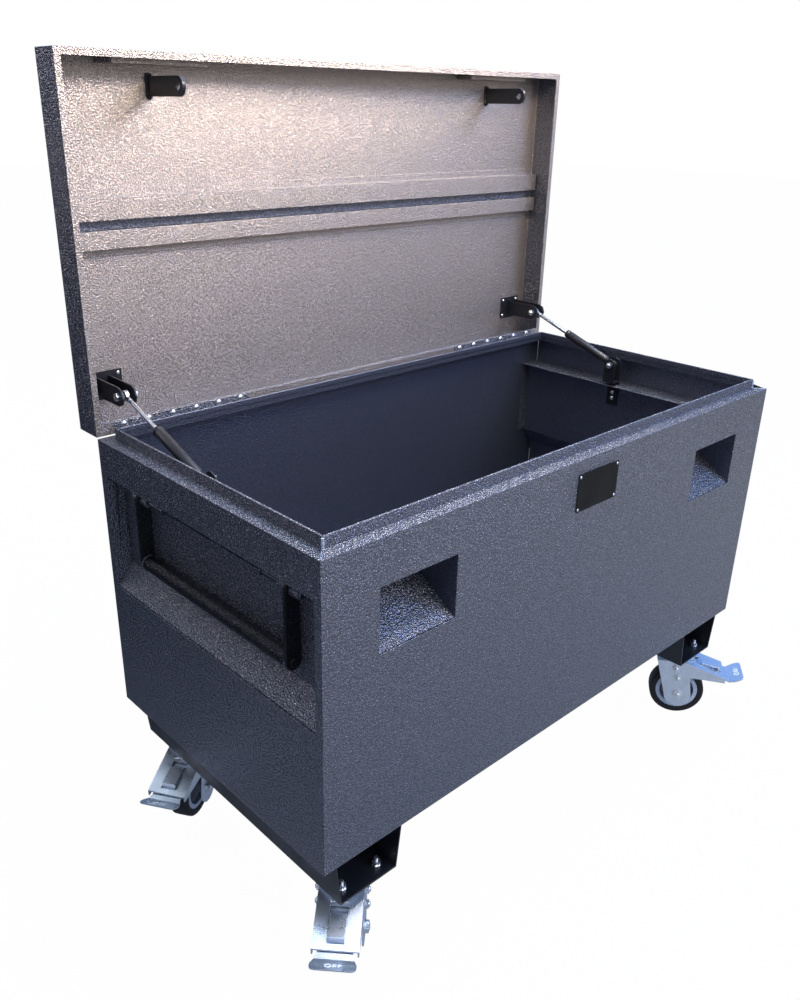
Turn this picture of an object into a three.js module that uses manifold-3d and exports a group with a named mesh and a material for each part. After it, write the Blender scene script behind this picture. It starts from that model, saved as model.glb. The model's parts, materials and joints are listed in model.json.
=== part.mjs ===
// Jobsite storage box: a welded sheet-steel chest with a gas-strut lid, two recessed padlock
// pockets, drop handles in recessed ends, and four braked swivel casters under two skids.
// Millimetres, +Z up, modelled with the lid open. The origin is on the ground under the middle
// of the body, +X runs along the length and the front faces -Y.
import * as THREE from 'three';
import { mergeVertices } from 'three/addons/utils/BufferGeometryUtils.js';
import Module from 'manifold-3d';

const wasm = await Module();
wasm.setup();

const fit = 0.3; // clearance between pieces that touch
const over = 6; // how far a cut runs past the face it opens
const pinSides = 8; // facets round pins, rivets and bolts
const tubeSides = 12; // facets round bars, tubes and eyes
const wheelSides = 24; // facets round wheels
const roundSteps = 4; // facets round the end of a plate

const body = {
  length: 1220,
  depth: 612,
  height: 537.5, // bottom edge of the panels to the rain ledge
  sheet: 2,
  ledge: 22.8, // rain ledge inside the outer walls
  lip: 19.8, // upstand inside the ledge
  hem: 10, // folded top of the upstand
  foot: 20, // bottom flange that carries the floor
};
const skid = {
  centre: 100, // centre line inside the end of the body
  height: 93,
  topWidth: 144,
  bottomWidth: 122,
  setback: 8, // from the front and rear panels
  sheet: 3,
};
const plate = {
  width: 102, // across X
  length: 105, // across Y
  thickness: 4,
  corner: 9,
  boltPitch: 76,
  boltRadius: 4,
  boltAcross: 13,
  boltHead: 5,
  nut: 6.7,
  thread: 8, // bolt thread standing above its nut
  kingpinRadius: 6,
  kingpinNut: 7,
  kingpinAcross: 20,
};
const caster = {
  wheelGap: 24.4, // between the wheel and the crown of the fork
  inset: 71, // kingpin behind the front panel or before the rear one
  trail: 26.5, // axle behind the kingpin
  raceRadius: 32,
  raceHeight: 15,
};
const wheel = {
  radius: 62.5,
  width: 38,
  shoulder: 3, // rounding of the tread's shoulder
  rimRadius: 48,
  rimInner: 38.75,
  rimWidth: 34,
  web: 8,
  hubRadius: 13,
  hubWidth: 52,
  axleRadius: 6,
};
const fork = {
  outerWidth: 77,
  sheet: 2.5,
  crown: 3,
  back: 30, // crown edge behind the kingpin
  bend: 32, // where the crown turns down into the brake cover
  reach: 128, // end of the brake cover from the kingpin
  drop: 31.4, // fall of the cover from the bend to its end
  skirt: 12, // side wall at the cover's end
  throat: 49, // inner corner between cover and leg
  throatFall: 40.4, // that corner below the crown's top
  skirtStart: 72, // where the skirt's lower edge starts to fall
  legRadius: 31,
  windowStart: 60,
  windowEnd: 119,
  windowWidth: 31,
  axleAcross: 19,
  axleHead: 7,
  spacerRadius: 9,
  boltRadius: 4,
  boltAcross: 13,
  boltHead: 5,
  boltTail: 3,
  upperBoltLead: 12, // upper side bolt ahead of the axle
  upperBoltFall: 17.9, // side bolts below the crown's top
  lowerBoltLead: 5,
  lowerBoltFall: 43.9,
};
const lever = {
  arm: 3,
  armGap: 3.5, // between an arm and the fork's side wall
  eyeRadius: 8,
  start: 44, // cross plate's inner end from the kingpin
  thickness: 3,
  coverGap: 3.5, // below the brake cover
  neck: 126,
  neckWidth: 58,
  dip: 138,
  dipFall: 3,
  end: 169,
  endFall: 25.4, // pedal's end below the crown's top
  endWidth: 74,
  endCorner: 9,
  shoeEnd: 66,
  shoeWidth: 30,
  shoeGap: 6.9, // above the free wheel
  tongueWidth: 27,
  tongueStart: 63,
  tongueBend: 76,
  tongueEnd: 116,
  tongueRise: 4, // above the cover at the bend
  tongueFall: 7, // from the bend to the end
};
const casterYaw = { front_left: 223, front_right: -54, rear_left: 213, rear_right: 26 };
const hinge = {
  rise: 2.7, // axis above the rain ledge
  inset: 1.1, // axis inside the rear panel's outer face
  pinRadius: 1.2,
  boreRadius: 1.5,
  knuckleRadius: 2.3,
  leaf: 1,
  inner: 317, // near end of each hinge inside the end of the body
  length: 282,
  knuckles: 7,
  bodyLeaf: 28, // down the rear panel
  lidLeaf: 19.4, // across the lid's rear flange
  rivets: 6,
  rivetPitch: 49.2,
  rivetOffset: 13.3, // from the axis
  rivetRadius: 6,
  rivetHead: 2.6,
};
const lid = {
  lengthSpare: 0.5, // longer than the body
  gap: 5.3, // rim above the rain ledge when closed
  height: 62.2,
  sheet: 2,
  rim: 12, // inward flange at the front and the ends
  rearRim: 21.5, // inward flange that carries the hinges
};
const stiffener = {
  endGap: 3.25, // from each end to the lid's wall
  rise: 17, // how far the bands stand off the skin
  sheet: 1.5,
  rearFlange: 13,
  rearBand: 31,
  groove: 16,
  frontBand: 37,
  frontFlange: 13,
  start: 292.8, // rear edge from the hinge axis
};
const pryBar = {
  inner: 282, // ends inside the end of the body
  outer: 93,
  thickness: 8.5,
  drop: 41,
  clear: 8.8, // inside the lid's front wall
  tip: 20,
};
const tab = {
  centre: 187, // inside the end of the body
  setback: 50.6, // behind the front face when closed
  thickness: 6,
  width: 31,
  length: 112.5,
  holeRadius: 6.5,
  holeFromTip: 16,
  weld: 4,
};
const pocket = {
  inner: 266, // window edges inside the end of the body
  outer: 107,
  sill: 188, // window edges below the rain ledge
  head: 77.5,
  depth: 81, // behind the front face
  ramp: 48.5, // rise of the floor over that depth
  ceiling: 20.5, // below the rain ledge
  sheet: 2,
  flange: 12,
  slotSpare: 1.8, // round the tab
};
const recess = {
  side: 15, // opening's edges inside the front and rear faces
  sill: 283.5, // opening's edges below the rain ledge
  head: 64.5,
  depth: 34,
  ramp: 43, // rise of the floor over that depth
  ledgeTop: 59.5, // tray ledge below the rain ledge
  ledgeDepth: 64,
  sheet: 2,
  weldFlange: 25,
  lowerFlange: 24,
};
const handle = {
  pinFall: 83, // pin below the rain ledge
  axis: 18, // pin and bar inside the end face
  lead: 10.5, // middle of the handle in front of the middle of the recess
  drop: 120, // pin to bar
  barRadius: 13.5,
  armPlace: 84, // arm inside the opening's edge
  armThickness: 6,
  armHalfWidth: 13,
  armEndRadius: 13.6,
  bossRadius: 8, // stub of the bar through each arm
  bossProud: 3,
};
const handleHinge = {
  strip: 2,
  stripHalf: 13,
  stripEnd: 41, // inside the opening's edge
  tubeRadius: 8,
  tubeLength: 20,
  saddleHalf: 5,
  pinRadius: 4,
  pinTail: 48, // pin past the inner tube
  collarRadius: 6.5,
  collar: 4,
};
const strut = {
  place: 50, // inside the end face
  boxPivot: { fromAxis: 259.9, fall: 11.5 }, // in front of the hinge axis, below the rain ledge
  lidPivot: { fromAxis: 70.8, drop: 19.9 }, // closed, in front of and below the hinge axis
  cylinderRadius: 9.5,
  cylinderEnd: 148.7, // mouth from the box pivot
  cylinderStart: 15,
  boreStart: 56,
  boreRadius: 4.5,
  rodRadius: 4,
  rodStart: 128,
  rodNeck: 14, // rod's end before the eye's centre
  eyeRadius: 9,
  eyeWidth: 8,
  eyeHole: 4.4,
  boltRadius: 4,
};
const clevis = {
  halfGap: 10.7,
  plate: 3,
  width: 34,
  base: 2,
  baseInner: 37, // base plate past the strut's line, towards the middle
  baseOuter: 26,
  baseLength: 51,
  rivetInset: 7,
  rivetRadius: 3.2,
  rivetHead: 1.8,
  boltAcross: 13,
  boltHead: 5,
  capRadius: 5,
  cap: 5,
};
const bracket = {
  width: 30,
  webFall: 53.5, // below the rain ledge, like the foot and the screws
  foot: 112.5,
  screwFalls: [95.5, 81.5],
  screwRadius: 5,
  screwHead: 2.6,
  notchSpare: 2,
};
const nameplate = {
  from: -51,
  to: 66,
  bottom: 96.5, // edges below the rain ledge
  top: 26.5,
  thickness: 1,
  corner: 3,
  rivetInset: 5,
  rivetRadius: 2.4,
  rivetHead: 1.3,
};

const halfLength = body.length / 2;
const halfDepth = body.depth / 2;
const insideLength = halfLength - body.sheet;
const insideDepth = halfDepth - body.sheet;
const crownUnder = 2 * wheel.radius + caster.wheelGap;
const crownTop = crownUnder + fork.crown;
const raceTop = crownTop + caster.raceHeight;
const plateUnder = raceTop + fit;
const plateTop = plateUnder + plate.thickness;
const casterHeight = plateTop + fit; // ground to the underside of the skid
const panelBottom = casterHeight + skid.height;
const ledgeZ = panelBottom + body.height;
const lipZ = ledgeZ + body.lip;
const hingeY = halfDepth - hinge.inset;
const hingeZ = ledgeZ + hinge.rise;
const rimZ = ledgeZ + lid.gap;
const lidTop = rimZ + lid.height;
const skinZ = lidTop - lid.sheet;
const skidX = halfLength - skid.centre;
const casterY = halfDepth - caster.inset;
const strutX = halfLength - strut.place;
const strutY = hingeY - strut.boxPivot.fromAxis;
const strutZ = ledgeZ - strut.boxPivot.fall;
const tabX = halfLength - tab.centre;
const tabY = tab.setback - halfDepth;
const pocketInner = halfLength - pocket.inner;
const pocketOuter = halfLength - pocket.outer;
const hingeStart = halfLength - hinge.inner;
const recessHalf = halfDepth - recess.side;
const armY = recessHalf - handle.armPlace;

const colours = {
  charcoal: { color: 0x55555a, roughness: 0.42, metalness: 0.45 },
  charcoalInside: { color: 0x4b4c52, roughness: 0.5, metalness: 0.4 },
  lidInside: { color: 0x8d8783, roughness: 0.4, metalness: 0.45 },
  black: { color: 0x17181b, roughness: 0.45, metalness: 0.3 },
  zinc: { color: 0xbfc6cc, roughness: 0.3, metalness: 0.95 },
  chrome: { color: 0xd5d9dd, roughness: 0.12, metalness: 1 },
  rubber: { color: 0x18181a, roughness: 0.65, metalness: 0 },
  grey: { color: 0x9a9da1, roughness: 0.5, metalness: 0.1 },
  plate: { color: 0x1c1d20, roughness: 0.35, metalness: 0.5 },
};

function toSolid(geometry) {
  geometry.deleteAttribute('normal');
  geometry.deleteAttribute('uv');
  const merged = mergeVertices(geometry);
  return new wasm.Manifold(new wasm.Mesh({
    numProp: 3,
    vertProperties: new Float32Array(merged.attributes.position.array),
    triVerts: new Uint32Array(merged.index.array),
  }));
}

function toGeometry(solid) {
  const mesh = solid.getMesh();
  const geometry = new THREE.BufferGeometry();
  geometry.setAttribute('position', new THREE.BufferAttribute(mesh.vertProperties, 3));
  geometry.setIndex(new THREE.BufferAttribute(mesh.triVerts, 1));
  geometry.computeVertexNormals();
  return geometry;
}

function join(...solids) {
  return solids.reduce((whole, piece) => whole.add(piece));
}

function cut(solid, ...tools) {
  return tools.reduce((rest, tool) => rest.subtract(tool), solid);
}

// Each range is a pair of limits in either order.
function block(xRange, yRange, zRange) {
  const ranges = [xRange, yRange, zRange];
  const size = ranges.map(([a, b]) => Math.abs(b - a));
  const middle = ranges.map(([a, b]) => (a + b) / 2);
  const geometry = new THREE.BoxGeometry(...size);
  geometry.translate(...middle);
  return toSolid(geometry);
}

// An outline of [first, second] points carried along an axis: [y, z] along x, [x, z] along y
// or [x, y] along z.
function prism(axis, points, [a, b]) {
  const flat = axis === 'y' ? points.map(([x, z]) => [z, x]) : points;
  const shape = new THREE.Shape(flat.map(([u, v]) => new THREE.Vector2(u, v)));
  const geometry = new THREE.ExtrudeGeometry(shape, { depth: Math.abs(b - a), bevelEnabled: false });
  geometry.translate(0, 0, Math.min(a, b));
  const x = new THREE.Vector3(1, 0, 0);
  const y = new THREE.Vector3(0, 1, 0);
  const z = new THREE.Vector3(0, 0, 1);
  const frames = { x: [y, z, x], y: [z, x, y], z: [x, y, z] };
  geometry.applyMatrix4(new THREE.Matrix4().makeBasis(...frames[axis]));
  return toSolid(geometry);
}

// A profile of [radius, along] points turned about an axis through a centre.
function turned(axis, centre, profile, sides) {
  const geometry = new THREE.LatheGeometry(profile.map(([r, h]) => new THREE.Vector2(r, h)), sides);
  if (axis === 'x') geometry.rotateZ(-Math.PI / 2);
  if (axis === 'z') geometry.rotateX(Math.PI / 2);
  geometry.translate(...centre);
  return toSolid(geometry);
}

// A round bar between two places along an axis. Its centre gives the other two coordinates.
function bar(axis, centre, radius, [a, b], sides = pinSides) {
  const low = Math.min(a, b);
  const high = Math.max(a, b);
  const profile = [[0, low], [radius, low], [radius, high], [0, high]];
  return turned(axis, centre, profile, sides);
}

// A round hole tool, sized so that its flats stay outside the radius given.
function bore(axis, centre, radius, range, sides = pinSides) {
  return bar(axis, centre, radius / Math.cos(Math.PI / sides), range, sides);
}

function hexagon(axis, centre, across, range) {
  return bar(axis, centre, across / Math.sqrt(3), range, 6);
}

// A low domed head that stands from `from` towards the sign given, sunk a little at its foot.
function dome(axis, centre, radius, height, from, sign) {
  const turnShares = [0, 0.5, 1];
  const curve = turnShares.map((share) => [
    radius * Math.cos(share * Math.PI / 2),
    from + sign * height * Math.sin(share * Math.PI / 2),
  ]);
  curve[curve.length - 1][0] = 0;
  const foot = [[0, from - sign * fit], [radius, from - sign * fit]];
  const profile = [...foot, ...curve];
  return turned(axis, centre, sign > 0 ? profile : profile.reverse(), pinSides);
}

function arc(cu, cv, radius, startDegrees, endDegrees, steps = roundSteps) {
  return Array.from({ length: steps + 1 }, (_, i) => {
    const angle = THREE.MathUtils.degToRad(startDegrees + (endDegrees - startDegrees) * i / steps);
    return [cu + radius * Math.cos(angle), cv + radius * Math.sin(angle)];
  });
}

function roundedRectangle([u0, u1], [v0, v1], radius) {
  return [
    ...arc(u1 - radius, v0 + radius, radius, -90, 0, 3),
    ...arc(u1 - radius, v1 - radius, radius, 0, 90, 3),
    ...arc(u0 + radius, v1 - radius, radius, 90, 180, 3),
    ...arc(u0 + radius, v0 + radius, radius, 180, 270, 3),
  ];
}

const box = new THREE.Group();

function addMesh(parent, name, solid, look) {
  const mesh = new THREE.Mesh(toGeometry(solid), new THREE.MeshStandardMaterial(look));
  mesh.name = name;
  parent.add(mesh);
  return mesh;
}

// One wall of the body, its ledge, upstand and foot, drawn as if it faced -Y with its outer
// face at y = 0 and the box behind it. half is half its length at the outer corners.
function wallProfile(half) {
  const lipBack = body.ledge + body.sheet;
  const wide = [-half, half];
  return join(
    block(wide, [0, body.sheet], [panelBottom, ledgeZ]),
    block(wide, [0, body.foot], [panelBottom, panelBottom + body.sheet]),
    block(wide, [0, lipBack], [ledgeZ - body.sheet, ledgeZ]),
    block(wide, [body.ledge, lipBack], [ledgeZ - body.sheet, lipZ]),
    block(wide, [body.ledge, lipBack + body.sheet], [lipZ - body.hem, lipZ]),
  );
}

// Mitred ends: the wall is kept inside a trapezoid whose ends run in at 45 degrees.
function mitred(solid, half) {
  const reach = body.ledge + body.foot;
  const points = [[-half, 0], [half, 0], [half - reach, reach], [reach - half, reach]];
  return solid.intersect(prism('z', points, [0, lidTop]));
}

// Turns a wall drawn facing -Y to its side of the box.
function placeWall(solid, turn, outer) {
  const geometry = toGeometry(solid);
  geometry.translate(0, -outer, 0);
  geometry.rotateZ(turn);
  return toSolid(geometry);
}

function longWall(turn) {
  return placeWall(mitred(wallProfile(halfLength), halfLength), turn, halfDepth);
}

function endWall(turn) {
  const half = halfDepth - fit * Math.SQRT2;
  return placeWall(mitred(wallProfile(halfDepth), half), turn, halfLength);
}

function makeBody() {
  const windows = [-1, 1].map((side) => block(
    [side * pocketInner, side * pocketOuter],
    [-halfDepth - over, -insideDepth + over],
    [ledgeZ - pocket.sill, ledgeZ - pocket.head],
  ));
  addMesh(box, 'front_panel', cut(longWall(0), ...windows), colours.charcoal);
  addMesh(box, 'rear_panel', longWall(Math.PI), colours.charcoal);
  for (const [name, side] of [['left', -1], ['right', 1]]) {
    addMesh(box, `${name}_side_panel`, sidePanel(side), colours.charcoal);
    addMesh(box, `${name}_recess_insert`, recessInsert(side), colours.charcoalInside);
    addMesh(box, `${name}_lock_pocket`, lockPocket(side), colours.charcoalInside);
  }
  const floorBottom = panelBottom + body.sheet + fit;
  addMesh(box, 'floor_panel', block(
    [fit - insideLength, insideLength - fit],
    [fit - insideDepth, insideDepth - fit],
    [floorBottom, floorBottom + body.sheet],
  ), colours.charcoalInside);
  addMesh(box, 'nameplate', makeNameplate(), colours.plate);
}

const recessBack = halfLength - recess.depth; // outer face of the recess's back wall
const recessInside = recessBack - recess.sheet;

// Height of the recess's sloping floor at a distance from the middle of the box.
function recessFloor(x) {
  return ledgeZ - recess.sill + (halfLength - x) * recess.ramp / recess.depth;
}

// An end wall with the handle opening and the flange returned from three of its edges.
function sidePanel(side) {
  const top = ledgeZ - recess.head;
  const outerTop = top + body.sheet;
  const start = insideLength + fit;
  const end = recessBack + fit;
  const flange = prism('y', [
    [side * start, outerTop], [side * end, outerTop],
    [side * end, recessFloor(end) + fit], [side * start, recessFloor(start) + fit],
  ], [-recessHalf - body.sheet, recessHalf + body.sheet]);
  const opening = block(
    [side * (recessBack - over), side * (halfLength + over)],
    [-recessHalf, recessHalf],
    [ledgeZ - recess.sill, top],
  );
  return cut(join(endWall(side * Math.PI / 2), flange), opening);
}

// The folded sheet behind the handle opening: tray ledge, back wall, sloping floor and flanges.
function recessInsert(side) {
  const wide = [fit - insideDepth, insideDepth - fit];
  const wall = insideLength - fit;
  const ledgeTop = ledgeZ - recess.ledgeTop;
  const ledgeEnd = halfLength - recess.ledgeDepth;
  const backFoot = recessFloor(recessBack);
  const floorEnd = recessFloor(wall);
  const slant = recess.sheet * Math.hypot(recess.depth, recess.ramp) / recess.depth;
  const folded = [
    [side * wall, ledgeTop], [side * ledgeEnd, ledgeTop],
    [side * ledgeEnd, ledgeTop - recess.sheet], [side * recessInside, ledgeTop - recess.sheet],
    [side * recessInside, recessFloor(recessInside) - slant],
    [side * (wall - recess.sheet), recessFloor(wall - recess.sheet) - slant],
    [side * (wall - recess.sheet), floorEnd - recess.lowerFlange],
    [side * wall, floorEnd - recess.lowerFlange], [side * wall, floorEnd],
    [side * recessBack, backFoot], [side * recessBack, ledgeTop - recess.sheet],
    [side * wall, ledgeTop - recess.sheet],
  ];
  const flanges = [-1, 1].map((end) => block(
    [side * (recessInside - recess.weldFlange), side * recessBack],
    [end * wide[1], end * (wide[1] - recess.sheet)],
    [backFoot, ledgeTop],
  ));
  const notch = block(
    [side * (strutX + clevis.halfGap - bracket.notchSpare), side * recessInside],
    [strutY - bracket.width / 2 - bracket.notchSpare, strutY + bracket.width / 2 + bracket.notchSpare],
    [ledgeTop - recess.sheet - over, ledgeTop + over],
  );
  return cut(join(prism('y', folded, wide), ...flanges), notch);
}

// Height of the padlock pocket's sloping floor at a distance behind the front face.
function pocketFloor(depth) {
  return ledgeZ - pocket.sill + depth * pocket.ramp / pocket.depth;
}

// The closed pan behind a pocket window, with a slot above for the lid's tab.
function lockPocket(side) {
  const face = fit - insideDepth;
  const back = pocket.depth - halfDepth;
  const start = halfDepth + face;
  const ceiling = ledgeZ - pocket.ceiling;
  const slant = pocket.sheet * Math.hypot(pocket.depth, pocket.ramp) / pocket.depth;
  const outer = [
    [face, pocketFloor(start) - slant],
    [back + pocket.sheet, pocketFloor(pocket.depth + pocket.sheet) - slant],
    [back + pocket.sheet, ceiling + pocket.sheet], [face, ceiling + pocket.sheet],
  ];
  const inner = [
    [face - over, pocketFloor(start - over)], [back, pocketFloor(pocket.depth)],
    [back, ceiling], [face - over, ceiling],
  ];
  const pan = cut(
    prism('x', outer, [side * (pocketInner - pocket.sheet), side * (pocketOuter + pocket.sheet)]),
    prism('x', inner, [side * pocketInner, side * pocketOuter]),
  );
  const flanges = [
    [pocketInner - pocket.flange, pocketInner - pocket.sheet + fit],
    [pocketOuter + pocket.sheet - fit, pocketOuter + pocket.flange],
  ].map(([a, b]) => block(
    [side * a, side * b],
    [face, face + pocket.sheet],
    [pocketFloor(start) - slant, ceiling + pocket.sheet],
  ));
  const halfSlot = tab.thickness / 2 + pocket.slotSpare;
  const halfTab = tab.width / 2 + pocket.slotSpare;
  const slot = block(
    [side * (tabX - halfSlot), side * (tabX + halfSlot)],
    [tabY - halfTab, tabY + halfTab],
    [ceiling - over, ceiling + pocket.sheet + over],
  );
  return cut(join(pan, ...flanges), slot);
}

function makeNameplate() {
  const back = -halfDepth - fit;
  const face = back - nameplate.thickness;
  const rise = [ledgeZ - nameplate.bottom, ledgeZ - nameplate.top];
  const outline = roundedRectangle([nameplate.from, nameplate.to], rise, nameplate.corner);
  const card = prism('y', outline, [face, back]);
  const rivets = [];
  for (const x of [nameplate.from + nameplate.rivetInset, nameplate.to - nameplate.rivetInset]) {
    for (const z of [rise[0] + nameplate.rivetInset, rise[1] - nameplate.rivetInset]) {
      rivets.push(dome('y', [x, 0, z], nameplate.rivetRadius, nameplate.rivetHead, face, -1));
    }
  }
  return join(card, ...rivets);
}

// The lid is drawn closed and turned open about the hinge axis.
const lidGroup = new THREE.Group();
lidGroup.position.set(0, hingeY, hingeZ);
lidGroup.rotation.x = -Math.PI / 2;
box.add(lidGroup);

function addLidMesh(name, solid, look) {
  addMesh(lidGroup, name, solid, look).position.set(0, -hingeY, -hingeZ);
}

function makeLid() {
  const halfLid = halfLength + lid.lengthSpare / 2;
  const inLength = halfLid - lid.sheet;
  const inDepth = halfDepth - lid.sheet;
  const outside = block([-halfLid, halfLid], [-halfDepth, halfDepth], [rimZ, lidTop]);
  const hollow = block([-inLength, inLength], [-inDepth, inDepth], [rimZ + lid.sheet, skinZ]);
  const mouth = block(
    [lid.rim - halfLid, halfLid - lid.rim],
    [lid.rim - halfDepth, halfDepth - lid.rearRim],
    [rimZ - over, rimZ + lid.sheet + over],
  );
  addLidMesh('lid_shell', cut(outside, hollow, mouth), colours.charcoal);
  addLidMesh('lid_stiffener', makeStiffener(), colours.lidInside);
  for (const [name, side] of [['left', -1], ['right', 1]]) {
    addLidMesh(`${name}_pry_bar`, makePryBar(side), colours.lidInside);
    addLidMesh(`${name}_latch_tab`, makeTab(side), colours.black);
    addLidMesh(`${name}_lid_clevis`, makeLidClevis(side), colours.black);
  }
}

// One sheet folded into two bands with a groove between, its flanges against the skin.
function makeStiffener() {
  const top = skinZ - fit;
  const face = top - stiffener.rise;
  const widths = [stiffener.rearFlange, stiffener.rearBand, stiffener.groove, stiffener.frontBand];
  const edges = [hingeY - stiffener.start];
  for (const width of [...widths, stiffener.frontFlange]) edges.push(edges[edges.length - 1] - width);
  const t = stiffener.sheet;
  const half = halfLength + lid.lengthSpare / 2 - lid.sheet - stiffener.endGap;
  const wide = [-half, half];
  const bands = [[edges[1], edges[2]], [edges[3], edges[4]]];
  const strips = bands.flatMap(([rear, front]) => [
    block(wide, [rear, front], [face, face + t]),
    block(wide, [rear, rear - t], [face, top]),
    block(wide, [front, front + t], [face, top]),
  ]);
  const flanges = [[edges[0], edges[1] - t], [edges[2] + t, edges[3] - t], [edges[4] + t, edges[5]]];
  return join(...strips, ...flanges.map((range) => block(wide, range, [top - t, top])));
}

// A stiff bar inside the front wall that keeps the closed lid from being levered up.
function makePryBar(side) {
  const outerY = lid.sheet - halfDepth + pryBar.clear;
  const top = skinZ - fit;
  const low = top - pryBar.drop;
  const inner = halfLength - pryBar.inner;
  const outer = halfLength - pryBar.outer;
  const outline = [
    [side * outer, top], [side * inner, top], [side * inner, low],
    [side * (outer - pryBar.tip / 2), low], [side * outer, low + pryBar.tip],
  ];
  return prism('y', outline, [outerY, outerY + pryBar.thickness]);
}

// The flat bar that drops through the pocket's slot, with the padlock hole near its tip.
function makeTab(side) {
  const top = skinZ - fit;
  const radius = tab.width / 2;
  const tip = top - tab.length;
  const outline = [
    [tabY + radius, top], [tabY - radius, top], ...arc(tabY, tip + radius, radius, 180, 360),
  ];
  const halfThick = tab.thickness / 2;
  const faces = [side * tabX - halfThick, side * tabX + halfThick];
  const through = [faces[0] - over, faces[1] + over];
  const hole = bore('x', [0, tabY, tip + tab.holeFromTip], tab.holeRadius, through, tubeSides);
  const bead = [
    [faces[0] - tab.weld, top], [faces[1] + tab.weld, top],
    [faces[1], top - tab.weld], [faces[0], top - tab.weld],
  ];
  return join(cut(prism('x', outline, faces), hole), prism('y', bead, [tabY - radius, tabY + radius]));
}

function pair(centre, halfGap, thickness) {
  return [
    [centre - halfGap - thickness, centre - halfGap],
    [centre + halfGap, centre + halfGap + thickness],
  ];
}

// A plate with a round end at the pivot that runs straight up or down to `end`.
function lug(faces, y, z, width, end) {
  const radius = width / 2;
  const [start, finish] = end > z ? [180, 360] : [0, 180];
  const round = arc(y, z, radius, start, finish);
  const last = round[round.length - 1];
  return prism('x', [...round, [last[0], end], [round[0][0], end]], faces);
}

// The rod's eye floats between the plates, so each plate has a short bolt of its own.
function makeLidClevis(side) {
  const x = side * strutX;
  const y = hingeY - strut.lidPivot.fromAxis;
  const z = hingeZ - strut.lidPivot.drop;
  const top = skinZ - fit;
  const baseX = [x - side * clevis.baseInner, x + side * clevis.baseOuter];
  const halfBase = clevis.baseLength / 2;
  const face = top - clevis.base;
  const base = block(baseX, [y - halfBase, y + halfBase], [face, top]);
  const lugs = pair(x, clevis.halfGap, clevis.plate).map((faces) => lug(faces, y, z, clevis.width, top));
  const from = side * (clevis.halfGap + clevis.plate - fit);
  const to = from + side * clevis.boltHead;
  const nut = hexagon('x', [0, y, z], clevis.boltAcross, [x - from, x - to]);
  const head = hexagon('x', [0, y, z], clevis.boltAcross, [x + from, x + to]);
  const cap = dome('x', [0, y, z], clevis.capRadius, clevis.cap, x - to, -side);
  const rivets = [];
  for (const rivetX of [baseX[0] + side * clevis.rivetInset, baseX[1] - side * clevis.rivetInset]) {
    for (const rivetY of [y - halfBase + clevis.rivetInset, y + halfBase - clevis.rivetInset]) {
      rivets.push(dome('z', [rivetX, rivetY, 0], clevis.rivetRadius, clevis.rivetHead, face, -1));
    }
  }
  return join(base, ...lugs, nut, head, cap, ...rivets);
}

// The U bracket that carries a strut's fixed end. Its outer plate runs down through a notch in
// the tray ledge and is screwed to the recess's back wall.
function makeBoxBracket(side) {
  const x = side * strutX;
  const y = strutY;
  const z = strutZ;
  const web = ledgeZ - bracket.webFall;
  const half = bracket.width / 2;
  const [low, high] = pair(x, clevis.halfGap, clevis.plate);
  const [inner, outer] = side > 0 ? [low, high] : [high, low];
  const foot = ledgeZ - bracket.foot;
  const reach = clevis.halfGap + clevis.plate;
  const to = reach + clevis.boltHead;
  const screwFrom = x + side * clevis.halfGap;
  return join(
    lug(inner, y, z, bracket.width, web),
    lug(outer, y, z, bracket.width, foot),
    block([x - reach, x + reach], [y - half, y + half], [web, web + clevis.plate]),
    bar('x', [0, y, z], strut.boltRadius, [x - reach - fit, x + reach + fit]),
    hexagon('x', [0, y, z], clevis.boltAcross, [x - reach + fit, x - to]),
    hexagon('x', [0, y, z], clevis.boltAcross, [x + reach - fit, x + to]),
    ...bracket.screwFalls.map((fall) => dome(
      'x', [0, y, ledgeZ - fall], bracket.screwRadius, bracket.screwHead, screwFrom, -side,
    )),
  );
}

// Each gas strut is drawn along +Y from its fixed pivot and tilted to meet the open lid.
function makeStruts() {
  const lidY = hingeY - strut.lidPivot.drop;
  const lidZ = hingeZ + strut.lidPivot.fromAxis;
  const length = Math.hypot(lidY - strutY, lidZ - strutZ);
  const halfEye = strut.eyeWidth / 2;
  const eye = (y) => cut(
    bar('x', [0, y, 0], strut.eyeRadius, [-halfEye, halfEye], tubeSides),
    bore('x', [0, y, 0], strut.eyeHole, [-halfEye - over, halfEye + over]),
  );
  const neck = (from, to) => block([-halfEye, halfEye], [from, to], [-halfEye, halfEye]);
  const cylinder = join(
    eye(0),
    neck(strut.eyeRadius - halfEye / 2, strut.cylinderStart + halfEye),
    cut(
      bar('y', [0, 0, 0], strut.cylinderRadius, [strut.cylinderStart, strut.cylinderEnd], tubeSides),
      bore('y', [0, 0, 0], strut.boreRadius, [strut.boreStart, strut.cylinderEnd + over]),
    ),
  );
  const rod = join(
    bar('y', [0, 0, 0], strut.rodRadius, [strut.rodStart, length - strut.rodNeck + halfEye]),
    neck(length - strut.rodNeck, length - strut.eyeRadius + halfEye / 2),
    eye(length),
  );
  for (const [name, side] of [['left', -1], ['right', 1]]) {
    const group = new THREE.Group();
    group.position.set(side * strutX, strutY, strutZ);
    group.rotation.x = Math.atan2(lidZ - strutZ, lidY - strutY);
    box.add(group);
    addMesh(group, `${name}_strut_cylinder`, cylinder, colours.black);
    addMesh(group, `${name}_strut_rod`, rod, colours.chrome);
    addMesh(box, `${name}_strut_bracket`, makeBoxBracket(side), colours.black);
  }
}

// Knuckle ranges along X of a hinge, every second one, from the near end.
function knuckleRanges(side, first) {
  const pitch = hinge.length / hinge.knuckles;
  const ranges = [];
  for (let i = first; i < hinge.knuckles; i += 2) {
    const start = hingeStart + i * pitch + fit / 2;
    ranges.push([side * start, side * (start + pitch - fit)]);
  }
  return ranges;
}

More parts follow.
